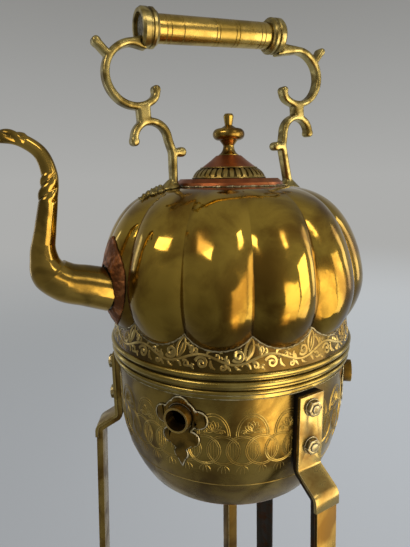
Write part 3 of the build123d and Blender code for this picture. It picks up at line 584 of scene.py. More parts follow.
def laid(strokes, place):
    """Strokes laid on a surface; place gives each point, or None where the stroke is covered and breaks."""
    lines = []
    for stroke in strokes:
        run = []
        for point in [place(*mark) for mark in stroke] + [None]:
            if point:
                run.append(point)
                continue
            if len(run) > 1:
                lines.append(run)
            run = []
    return lines


# --- Operators ---


class KETTLE_OT_bowl(bpy.types.Operator):
    """Finish the fire bowl, its rim and its pan, and work the arcades into its wall"""
    bl_idname = "kettle.bowl"
    bl_label = "Fire bowl"

    def hidden(self, angle, height):
        """Whether a strap or a tube's plate covers this place of the wall."""
        if any(abs(wall_gap(angle, leg)) < STRAP_COVER for leg in LEG_ANGLES):
            return True
        up = height - PORT_LEVEL
        return any(
            hypot(abs(wall_gap(angle, port)) - middle, up - level) < radius
            for port in PORT_ANGLES
            for middle, level, radius in PLATE_COVER)

    def arcades(self):
        """Interlaced rings, with an arch over each pair, a flower in the arch and a fan under each ring."""
        pairs = 22
        pitch = 2 * pi * BOWL_RADIUS / (2 * pairs)
        ring_level, ring_size, ring_line = 387.0, 13.5, 1.5
        arch_level, arch_half, arch_rise, inner_arch = 400.5, 13.2, 18.5, 0.88
        flower_level, petal_half, petal_rise = 404, 7.5, 8.6
        scroll_level, scroll_side, scroll_size = 403.4, 6.8, 2.6
        strokes = []
        for ring in range(2 * pairs):
            for size in (ring_size, ring_size - ring_line):
                strokes.append(arc((ring * pitch, ring_level), size, size, 49))
            foot = ring_level - ring_size
            for across in (-3.2, -1.1, 1.1, 3.2):
                start = (ring * pitch + across * 0.4, foot - 1)
                end = (ring * pitch + across * 1.5, foot - 10 + abs(across))
                strokes.append(sprig(start, end, across * 0.05, 0.8))
            crossing = (ring + 0.5) * pitch
            for across, half in ((-2.2, 7.2), (0, 8.6), (2.2, 7.2)):
                strokes.append([
                    (crossing + across, ring_level - half + 2 * half * step / 8, 0.55) for step in range(9)])
        for pair in range(pairs):
            middle = (2 * pair + 0.5) * pitch
            for size in (1, inner_arch):
                strokes.append(arc((middle, arch_level), arch_half * size, arch_rise * size, 25))
            for petal in range(7):
                lean = radians(petal * 30)
                tip = (middle + petal_half * cos(lean), flower_level + 0.5 + petal_rise * sin(lean))
                for bow in (0.22, -0.22):
                    strokes.append(sprig((middle, flower_level), tip, bow, 0.9))
            for side in (-1, 1):
                centre = (middle + side * scroll_side, scroll_level)
                strokes.append(spiral(centre, 90 - side * 90, scroll_size, side * 1.2, 0.9, 14))
        return strokes

    def execute(self, context):
        line_size = context.scene.kettle_sizes.line
        # Raised sheet brass, browned by the burner's heat and rubbed round the bowl: satin, never bright.
        sheet = worked_metal(
            "heat_browned_sheet_brass", "#9A8240", "#655024", blotch=36, film_share=(0.36, 0.66), reach=10,
            grime_and_shade_share=(0.30, 0.95), roughness=(0.17, 0.28), streak=0.08, ripple=0.9)
        # The pan below is polished by hands: smoother and warmer than the wall.
        pan = worked_metal(
            "hand_polished_pan_brass", "#A66C16", "#824E12", film_share=(0.45, 0.8), roughness=(0.08, 0.18),
            streak=0.05, lines=(60, 60, 500), ripple=0.8)
        # Turned mouldings, rubbed each time the kettle is seated: bright crowns, and grooves darkened by
        # grime and painted shade.
        rim = worked_metal(
            "turned_moulding_brass", "#B5A05A", "#8C783C", mottle=0.03, reach=3, grime_and_shade_share=(0.25, 0.82),
            roughness=(0.12, 0.24), ripple=0.12, line_depth=0.004)
        # Pale chalky lines where the rim's mouldings step back: a painted highlight along the edges that
        # catch the light.
        polish = worked_metal(
            "painted_rim_highlight", "#D4CDA8", "#8E8052", blotch=7, reach=1, roughness=(0.45, 0.6), metal=0.3,
            ripple=0.05)
        # The chaser's lines stand a little proud and catch the light, in a paler brass that is partly rubbed
        # and partly a painted highlight; the dark beds on both sides of them are painted shade.
        rubbed = worked_metal(
            "rubbed_highlit_line_brass", "#B8A05A", "#8A7438", reach=0.6, roughness=(0.30, 0.42), ripple=0.02)
        dirt_and_shade = worked_metal(
            "painted_shade_beside_lines", "#4C3D1B", "#352A11", reach=2, roughness=(0.40, 0.55), ripple=0.02)
        dressed(sheet, "bowl_wall")
        dressed(pan, "bowl_pan")
        dressed(rim, "bowl_rim", "kettle_flange")

        # Thin pale rings along the rim's top edge, its moulding edge and its skirt's edge: painted
        # highlights.
        steps = [
            [(*around(radius, turn, height), size * (1 + 0.35 * sin(turn * 0.37) * sin(turn * 0.11)))
             for turn in range(360)]
            for radius, height, size in ((112.2, 449.8, 0.34), (112.0, 436.1, 0.32), (110.7, 432.1, 0.28))
        ]
        settled(strands("rim_highlight_lines", steps, closed=True), "stand", polish)

        def on_wall(across, height, width):
            """Point of a stroke on the wall, sunk by a share of its own thickness."""
            angle = across / BOWL_RADIUS * 180 / pi
            half = width * line_size / MM
            if not self.hidden(angle, height):
                return (*around(bowl_radius(height) - half * 0.45, angle, height), half)

        lines = laid(self.arcades(), on_wall)
        # The beds of painted shade are wider, darker strands that lie deeper in the wall.
        wide, deep = 2.1, 1.4 * line_size / MM
        beds = [
            [(x * (1 - deep / hypot(x, y)), y * (1 - deep / hypot(x, y)), z, size * wide)
             for x, y, z, size in line]
            for line in lines
        ]
        border_radius = bowl_radius(BORDER_LEVEL) - 0.15
        border = [(*around(border_radius, turn, BORDER_LEVEL), 0.4) for turn in range(361)]
        for name, drawn, finish in (
            ("bowl_arcades", lines, rubbed),
            ("bowl_line_shade_beds", beds, dirt_and_shade),
            ("bowl_border", [border], rubbed),
        ):
            settled(strands(name, drawn, sides=1), "stand", finish)
        return {"FINISHED"}


class KETTLE_OT_ports(bpy.types.Operator):
    """Finish the draught tubes and their lobed plates"""
    bl_idname = "kettle.ports"
    bl_label = "Draught tubes"

    def execute(self, context):
        colours = context.scene.kettle_colours
        # Cut sheet soldered to the wall: a dull brown face.
        plate = worked_metal(
            "filed_plate_brass", "#86692E", "#50401C", blotch=14, reach=5, roughness=(0.20, 0.36), ripple=0.6,
            ripple_size=12)
        # Its filed edge, painted pale all round as a highlight where the edge catches the light.
        plate_edge_highlight = worked_metal(
            "highlit_plate_edge", "#EFE7C8", "#B4A56E", blotch=11, reach=1.5, roughness=(0.35, 0.5),
            metal=0.35, ripple=0.1)
        # Turned tube, darkened inside by soot and painted shade, with its rim painted pale as a highlight.
        tube = worked_metal(
            "turned_tube_brass", colours.brass, colours.tarnish, reach=14, grime_and_shade_share=(0.42, 0.80),
            edge=(0.8, "#E2CE96"), roughness=(0.22, 0.36))
        # Its lobes are made of short faces, so the width of the rounding isn't clamped to them.
        for number in (1, 2, 3):
            piece = eased(f"port_plate_{number}", f"lobed_plate_{number}", 0.95 * MM, clamp=False)
            settled(piece, "stand", plate, edge=plate_edge_highlight)
            dressed(tube, f"port_tube_{number}")
        return {"FINISHED"}


class KETTLE_OT_legs(bpy.types.Operator):
    """Round the worn edges of the legs, brackets, nuts, post and stretchers, and finish them"""
    bl_idname = "kettle.legs"
    bl_label = "Legs and fastenings"

    def execute(self, context):
        easing = context.scene.kettle_sizes.easing
        # Bent strap, browned and handled: fine lines along it, and grime and painted shade darkening its
        # corners.
        bracket = worked_metal(
            "browned_strap_brass", "#B09A5C", "#806434", blotch=26, reach=5, roughness=(0.18, 0.32),
            lines=(900, 900, 50), ripple=0.4)
        # Drawn strip, brushed along the leg: duller and browner than the brackets.
        strip = worked_metal(
            "brushed_leg_brass", "#A08545", "#6A5024", blotch=30, roughness=(0.20, 0.34),
            lines=(900, 900, 40), ripple=0.4)
        # Edges of strap and strip, rubbed pale by hands and cloths.
        rubbed = worked_metal(
            "rubbed_strap_edge", "#DCC894", "#8F7840", blotch=10, reach=1.5, roughness=(0.26, 0.40),
            metal=0.6, ripple=0.1)
        # Forged bar with its black scale and some rust: dull, rough and nearly without colour.
        iron = worked_metal(
            "scaled_wrought_iron", context.scene.kettle_colours.iron, "#4A2F1C", "#12100D", blotch=14,
            film_share=(0.45, 0.75), roughness=(0.45, 0.7), ripple=0.4, ripple_size=9, pits=0.25)
        # Square drawn bar low under the bowl, cleaned least: brown, with lines along it.
        post = worked_metal(
            "square_drawn_brass", "#8A6C32", "#543E1C", roughness=(0.24, 0.40), lines=(900, 900, 40),
            ripple=0.25)
        # Old nuts and washers, plated and worn: greyer than the brass round them, with bright corners.
        steel = worked_metal(
            "worn_plated_steel", "#B3A67C", "#6F6240", "#14120C", blotch=5, reach=3, roughness=(0.26, 0.44),
            ripple=0.1, ripple_size=6, pits=0.12)
        bright = worked_metal(
            "worn_nut_edge", "#E6DFC6", "#A89E78", "#14120C", blotch=4, reach=1.2, roughness=(0.35, 0.5),
            metal=0.35, ripple=0.1)
        jobs = []
        for number in (1, 2, 3):
            # The second leg's bar is brass too.
            bar = ("leg_brass", strip, rubbed) if number == 2 else ("leg_iron", iron, None)
            jobs += [
                (f"leg_bracket_{number}", "leg_brass", bracket, rubbed),
                (f"leg_strip_{number}", "leg_brass", strip, rubbed),
                (f"leg_bar_{number}", *bar),
            ]
        for node in ("centre_post", "stretcher_hub", "stretcher_1", "stretcher_2", "stretcher_3"):
            jobs.append((node, "post_metal", post, rubbed))
        for node in ("bracket_nuts", "bracket_bolts", "bracket_washers", "stretcher_rivets"):
            jobs.append((node, "bolt_steel", steel, bright))
        for node, finish, material, edge in jobs:
            width = easing * (0.5 if node == "bracket_washers" else 1)
            settled(eased(node, node + "_worn", width), "stand", material, edge=edge)
        return {"FINISHED"}


class KETTLE_OT_burner(bpy.types.Operator):
    """Finish the spirit burner that stands in the bowl"""
    bl_idname = "kettle.burner"
    bl_label = "Spirit burner"

    def execute(self, context):
        # Spun brass kept under the kettle: sooty, with little polish left.
        brass = worked_metal(
            "sooty_spun_brass", "#A88C4C", "#584522", film_share=(0.25, 0.6), reach=9, roughness=(0.28, 0.46))
        dressed(brass, "burner_tank", "burner_top", "burner_wick_tube", "burner_filler_cap")
        # Plaited cotton, charred at its top: matt, pale below and black above, with strands 4 mm apart.
        cotton = bpy.data.materials.new("charred_plaited_cotton")
        add = partial(add_node, emptied(cotton))
        place = add("TexCoord").outputs["Object"]
        plait = add("TexWave", {"Vector": place, "Scale": 90, "Distortion": 6, "Detail": 2},
                    bands_direction="DIAGONAL").outputs["Fac"]
        height = add("SeparateXYZ", {0: place}).outputs["Z"]
        char = add("MapRange", {"Value": height, "From Min": 0.356, "From Max": 0.361})
        thread = add("Mix", {0: plait, 6: rgba("#8C8064"), 7: rgba("#D8CDB2")}, data_type="RGBA")
        burnt = add("Mix", {0: char, 6: thread, 7: rgba("#15120F")}, data_type="RGBA")
        bump = add("Bump", {"Height": plait, "Distance": 0.4 * MM})
        shader = add("BsdfPrincipled", {"Base Color": burnt, "Roughness": 0.95, "Normal": bump})
        add("OutputMaterial", {"Surface": shader})
        dressed(cotton, "burner_wick")
        return {"FINISHED"}


class KETTLE_OT_body(bpy.types.Operator):
    """Finish the lobed body, with its soldered edge over the collar and the collar's scrollwork"""
    bl_idname = "kettle.body"
    bl_label = "Lobed body"

    def scrollwork(self, width):
        """One lobe's share of the collar: a leafy stem with its scrolls, and the sprigs round them."""
        motif = [[(width * step / 28, 9.4 + 3.6 * sin(2 * pi * step / 28), 1.7) for step in range(29)]]
        # Scrolls: centre as a share of the width and a height, first direction, size, turns and thickness.
        for share, up, first, size, turns, thick in (
            (0.27, 6.6, 165, 5.2, -1.5, 2.4), (0.79, 12.6, 215, 5.4, 1.5, 2.4),
            (0.49, 12.0, 200, 2.7, 1.0, 1.8), (0.03, 5.0, 140, 3.0, -1.1, 1.8),
            (0.57, 3.9, 60, 2.7, -1.1, 1.8), (0.11, 16.8, 250, 3.0, 1.1, 1.8),
        ):
            motif.append(spiral((share * width, up), first, size, turns, thick, 20))
        # Leaves round the scrolls: centre, size, first direction, count, angle between them and thickness.
        for share, up, size, first, count, gap, thick in (
            (0.27, 6.6, 5.2, 175, 5, 48, 4.2), (0.79, 12.6, 5.4, -85, 5, 48, 4.2),
            (0.49, 12.0, 2.9, -40, 3, 60, 3.2), (0.11, 16.8, 3.1, -20, 3, 60, 3.2),
        ):
            for leaf in range(count):
                root = radians(first + leaf * gap)
                start, end = (
                    (share * width + size * away * cos(lean), up + size * away * sin(lean))
                    for away, lean in ((0.8, root), (1.7, root + 0.75)))
                motif.append(sprig(start, end, -0.28, thick))
        # Sprigs: start and end as shares of the width and heights, bow and thickness.
        for share, up, end_share, end_up, bow, thick in (
            (0.90, 9, 1.0, 25.5, 0.17, 2.2), (0.90, 9, 1.0, 25.5, -0.17, 2.2),
            (0.93, 12, 0.985, 21, 0.0, 1.8), (0.34, 12.4, 0.43, 15.4, 0.25, 2.4),
            (0.68, 6.2, 0.63, 13.2, 0.25, 2.4), (0.66, 6.6, 0.58, 10.4, -0.25, 2.1),
            (0.12, 11, 0.01, 21, -0.2, 2.4), (0.15, 12.4, 0.20, 17.6, -0.2, 2.2),
            (0.40, 9.5, 0.47, 2.4, -0.25, 2.4), (0.86, 6.8, 0.96, 2.4, 0.2, 2.2),
            (0.74, 5.6, 0.83, 2.2, -0.2, 2.1), (0.05, 3.2, 0.16, 1.4, 0.2, 2.4),
            (0.56, 4.2, 0.68, 1.4, 0.2, 2.4),
        ):
            motif.append(sprig((share * width, up), (end_share * width, end_up), bow, thick))
        return motif

    def execute(self, context):
        relief = context.scene.kettle_sizes.relief / MM
        # Raised and polished brass: a clear, slightly rippled mirror under a thin olive-brown film.
        # Painted shade darkens its lower lobes towards the collar, standing in for the dark room they mirror.
        body = worked_metal(
            "polished_raised_brass", "#C2A246", "#87672A", blotch=44, film_share=(0.38, 0.64), mottle=0.07,
            painted_low_shade=(488, 540, 0.75, "#46340F"), reach=10, grime_and_shade_share=(0.20, 0.88), collar=True,
            roughness=(0.05, 0.17), streak=0.04, lines=(40, 40, 500), ripple=1.7, ripple_size=46,
            line_depth=0.005, dents=DENTS)
        # Sheet over the flame: brown to black, with no polish.
        bottom = worked_metal("sooty_sheet_brass", "#8F7434", "#3E3016", roughness=(0.32, 0.5))
        # Tin solder gone dull, with the tops rubbed: a pale uneven line.
        seam = worked_metal(
            "old_tin_solder", context.scene.kettle_colours.solder, "#6E6444", blotch=4, reach=2.5,
            grime_and_shade_share=(0.2, 0.75), roughness=(0.28, 0.5), ripple=0.15, ripple_size=4)
        # The relief's crowns are rubbed bright over the dark matted ground.
        crowns = worked_metal(
            "rubbed_relief_brass", "#C6B070", "#8A7440", reach=0.9, grime_and_shade_share=(0.25, 0.8),
            roughness=(0.22, 0.36), ripple=0.05, ripple_size=6)
        dressed(body, "kettle_body")
        dressed(bottom, "kettle_bottom")

        # The lobes' edge, turned out and soldered down on the collar.
        steps = LOBES * 28
        edge = []
        for step in range(steps):
            angle = 180 + 360 * step / steps
            height = lobe_edge_height(angle) + 0.25 * sin(step * 2.3)
            size = 0.75 + 0.15 * sin(step * 1.7) * sin(step * 0.31)
            edge.append((*around(collar_radius(height) + 0.1, angle, height), size))
        settled(strands("lobe_edge", [edge], closed=True), "kettle", seam)

        width = 2 * pi * COLLAR_FOOT / LOBES
        lowest, clearance = 0.9, 0.3

        def on_collar(lobe, across, up, size):
            """Point of a stroke that stands out by the relief, between the bead and the lobes' edge."""
            angle = 180 + (lobe - 0.5 + across / width) * 360 / LOBES
            height = BEAD_TOP + up
            if up >= lowest and height <= lobe_edge_height(angle) - clearance:
                return (*around(collar_radius(height) - size + relief, angle, height), size)

        motif = self.scrollwork(width)
        lines = []
        for lobe in range(LOBES):
            lines += laid(motif, partial(on_collar, lobe))
        settled(strands("collar_scrolls", lines), "kettle", crowns)
        return {"FINISHED"}


class KETTLE_OT_spout(bpy.types.Operator):
    """Form the swan-neck spout with its twisted leafwork, and finish its copper plate"""
    bl_idname = "kettle.spout"
    bl_label = "Spout"

    def execute(self, context):
        colours = context.scene.kettle_colours
        knots = np.array([(-(CREST + out), EQUATOR + up) for out, up in SPOUT_LINE], float)
        gaps = np.hypot(*np.diff(knots, axis=0).T)
        marks = np.concatenate([[0], np.cumsum(gaps)])
        # A smooth line through the marks: a cubic curve whose slopes are shared by neighbouring runs.
        slopes = np.gradient(knots, marks, axis=0)
        fine = np.linspace(0, marks[-1], 600)
        place = np.clip(np.searchsorted(marks, fine, side="right") - 1, 0, len(gaps) - 1)
        share = ((fine - marks[place]) / gaps[place])[:, None]
        run = gaps[place][:, None]
        line = ((1 + 2 * share) * (1 - share) ** 2 * knots[place]
                + share * (1 - share) ** 2 * run * slopes[place]
                + share**2 * (3 - 2 * share) * knots[place + 1]
                + share**2 * (share - 1) * run * slopes[place + 1])
        travel = np.concatenate([[0], np.cumsum(np.hypot(*np.diff(line, axis=0).T))])

        root = 0.058            # share of the line that lies inside the body's wall
        # Each wrap of leaves: the shares of the line where it starts and ends, and its side, over or under.
        leafwork = ((0.595, 0.715, 1), (0.855, 0.985, -1))
        fade, twist_pitch, leaf_rise, leaf_fall = 0.012, 10.5, 2.2, 1.2

        def on_line(distance):
            """Points of the middle line at these distances along it."""
            return np.stack([np.interp(distance, travel, line[:, axis]) for axis in (0, 1)], -1)

        def put(across, along):
            """Point of the tube's skin; the root starts where the body's wall is."""
            along = root + (1 - root) * along
            distance = along * travel[-1]
            middle = on_line(distance)
            ahead = on_line(np.minimum(distance + 0.5, travel[-1])) - on_line(np.maximum(distance - 0.5, 0))
            ahead /= np.linalg.norm(ahead, axis=1, keepdims=True)
            radius = np.interp(along, np.linspace(0, 1, len(SPOUT_RADII)), SPOUT_RADII)
            angle = across * 2 * pi
            for first, last, side in leafwork:
                window = np.clip(np.minimum(along - first, last - along) / fade, 0, 1)
                window = window * (0.5 + 0.5 * side * np.cos(angle)) ** 0.7
                twist = 2 * pi * distance / twist_pitch + 3 * angle
                radius = radius + window * (leaf_rise * np.abs(np.cos(twist / 2)) ** 0.8 - leaf_fall)
            sideways = radius * np.sin(angle)
            upwards = radius * np.cos(angle)
            return np.stack([middle[:, 0] - ahead[:, 1] * upwards, sideways,
                             middle[:, 1] + ahead[:, 0] * upwards], -1)

        spout = formed("spout_swan_neck", 89, 430, put)
        applied(spout, "SOLIDIFY", thickness=1.5 * MM, offset=-1)
        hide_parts("spout")
        # Seamed tube drawn over a mandrel and rubbed by hands: smooth, with grime and painted shade darkening
        # the leafwork.
        tube = worked_metal(
            "rubbed_tube_brass", "#AC8E44", "#76602C", blotch=30, film_share=(0.40, 0.64), mottle=0.03,
            reach=3, grime_and_shade_share=(0.25, 0.85), roughness=(0.09, 0.20), streak=0.05, ripple=0.7,
            ripple_size=30)
        settled(spout, "kettle", tube)
        # Copper sheet with a red-brown film, bare only where it was rubbed.
        copper = worked_metal(
            "filmed_copper_plate", colours.copper, colours.copper_oxide, "#1A0D08", blotch=9,
            film_share=(0.36, 0.58), mottle=0.25, reach=5, roughness=(0.28, 0.5), pits=0.45)
        piece = cast("spout_flange", "spout_plate", voxel=0.6, passes=3, lumps=1.2)
        settled(piece, "kettle", copper, smooth=0)
        return {"FINISHED"}


class KETTLE_OT_handle(bpy.types.Operator):
    """Soften the scroll castings, foot their uprights in solder and turn the grip"""
    bl_idname = "kettle.handle"
    bl_label = "Handle"

    def execute(self, context):
        # Sand-cast yellow brass, worn pale on top, with grime and painted shade darkening the pits.
        casting = worked_metal(
            "sand_cast_yellow_brass", "#BAA96C", "#776738", blotch=12, mottle=0.03, reach=5,
            grime_and_shade_share=(0.28, 0.82), roughness=(0.27, 0.38), streak=0.04, lines=(400, 400, 400), ripple=0.12,
            ripple_size=9, line_depth=0.003)
        for side in ("left", "right"):
            piece = cast(f"handle_{side}", f"scroll_casting_{side}", voxel=0.5, passes=64, plump=0.85)
            settled(piece, "kettle", casting, smooth=0)
            dressed(casting, f"grip_ring_{side}")
        # Lumpy leaf of hard solder, as yellow as the castings, that runs down the shoulder from each upright.
        leaf_steps = 14
        for side, angle, start, reach in (("left", 180, 66, 21), ("right", 0, 61, 19)):
            leaf = []
            for step in range(leaf_steps + 1):
                share = step / leaf_steps
                radius = start + reach * share
                size = 5.0 * (1 - 0.4 * share) + 0.9 * sin(step * 2.4)
                leaf.append((*around(radius, angle, body_height(angle, radius) + 0.2), size))
            lobes = [leaf]
            for step, swing in ((2, 7.5), (2, -7.5), (6, 5.5), (6, -5.5)):
                radius = start + reach * step / leaf_steps
                twist = swing / radius * 180 / pi
                height = body_height(angle + twist, radius)
                lobes.append([
                    (*around(radius, angle, height + 0.4), 3.0),
                    (*around(radius + 2, angle + twist, height), 3.4),
                    (*around(radius + 4, angle + twist * 1.3, height - 0.8), 1.6),
                ])
            foot = strands(f"foot_leaf_{side}", lobes, sides=3)
            applied(foot, "REMESH", mode="VOXEL", voxel_size=0.6 * MM)
            applied(foot, "SMOOTH", factor=0.5, iterations=6)
            pressed(foot, grain=3, depth=1.4)
            settled(foot, "kettle", casting, smooth=0)

        # Grip: a tube with turned lines in pairs.
        radius, bore, half = 11.0, 9.6, 66.0
        line_half, cut = 0.45, 0.35
        profile = [(bore, -half), (radius - 0.3, -half), (radius, -half + 0.4)]
        for middle in (-47, -43, -32, -2, 1, 17, 20.5, 43, 47):
            profile += [(radius, middle - line_half), (radius - cut, middle), (radius, middle + line_half)]
        profile += [(radius, half - 0.4), (radius - 0.3, half), (bore, half), (bore, -half)]
        lean = Matrix.Rotation(pi / 2 - HANDLE_LEAN, 4, "Y")
        middle = Vector(handle_place(GRIP_SHIFT, GRIP_RISE)) * MM
        grip = turned("grip_turned", profile, 96, Matrix.Translation(middle) @ lean)
        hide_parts("grip_tube")
        # Drawn tube turned in a lathe: fine rings round the grip and a long soft shine.
        tube = worked_metal(
            "lathe_turned_grip_brass", "#BCA158", "#98803E", blotch=20, reach=1.6, roughness=(0.16, 0.26),
            lines=(1200, 30, 30), ripple=0.25, ripple_size=16, line_depth=0.015)
        settled(grip, "kettle", tube, smooth=30)
        # Lime plaster packed round the rod: chalky, grey and chipped at the open end, with 1.6 mm grains.
        plaster = bpy.data.materials.new("packed_lime_plaster")
        add = partial(add_node, emptied(plaster))
        place = add("TexCoord").outputs["Object"]
        grains = add("TexNoise", {"Vector": place, "Scale": 1 / (1.6 * MM), "Detail": 6})
        tone = add("ValToRGB", {0: grains}, stops=[(0.35, "#4C4A42"), (0.55, "#A9A699"), (0.7, "#CFCCC0")])
        bump = add("Bump", {"Height": grains, "Distance": 0.8 * MM})
        shader = add("BsdfPrincipled", {"Base Color": tone, "Roughness": 0.9, "Normal": bump})
        add("OutputMaterial", {"Surface": shader})
        dressed(plaster, "grip_core")
        return {"FINISHED"}


class KETTLE_OT_lid(bpy.types.Operator):
    """Finish the lid and its finial, and the copper ring with its solder line"""
    bl_idname = "kettle.lid"
    bl_label = "Lid and mouth"

    def execute(self, context):
        # Spun copper under a red-brown film: soft shine, with grime and painted shade darkening the corners.
        copper = worked_metal(
            "spun_red_copper", "#BC7448", "#945434", "#24120A", blotch=18, film_share=(0.3, 0.7), reach=4,
            roughness=(0.22, 0.36), ripple=0.3, ripple_size=12)
        # Chased sheet: pale on the gadroons' backs, with old polish and painted shade darkening the hollows
        # between them.
        band = worked_metal(
            "chased_gadroon_brass", "#B8A05E", "#756234", blotch=14, reach=2.2, grime_and_shade_share=(0.45, 0.95),
            roughness=(0.24, 0.38), ripple=0.15)
        # Turned solid brass, handled most of all: warm and nearly clean.
        knob = worked_metal(
            "handled_turned_brass", "#AC9048", "#705626", blotch=20, reach=3.5, roughness=(0.14, 0.26),
            lines=(40, 40, 1500), ripple=0.15, ripple_size=10)
        dressed(copper, "mouth_ring", "lid_cone")
        dressed(band, "lid_band", "lid_skirt")
        dressed(knob, "finial", "finial_nut")

        # Solder run along the foot of the copper ring, wavy where it crosses the creases.
        steps = LOBES * 24
        line = []
        for step in range(steps):
            angle = 360 * step / steps
            wave = 0.5 * sin(step * 0.9) * sin(step * 0.23) + 0.3 * sin(step * 2.1)
            radius = 50.9 + wave
            size = 0.8 + 0.3 * sin(step * 0.53) * sin(step * 0.11 + 1)
            line.append((*around(radius, angle, body_height(angle, radius) + 0.3), size))
        solder = bpy.data.materials["old_tin_solder"]
        settled(strands("mouth_solder", [line], closed=True), "kettle", solder)

        # Wires over and under the gadroons.
        for name, radius, height, size in (
            ("band_wire_top", 25.9, MOUTH_HEIGHT + 9.7, 0.55),
            ("band_wire_foot", 33.6, MOUTH_HEIGHT + 0.75, 0.7),
        ):
            loop = [(*around(radius, turn * 2.5, height), size) for turn in range(144)]
            settled(strands(name, [loop], closed=True), "lid", band)
        return {"FINISHED"}


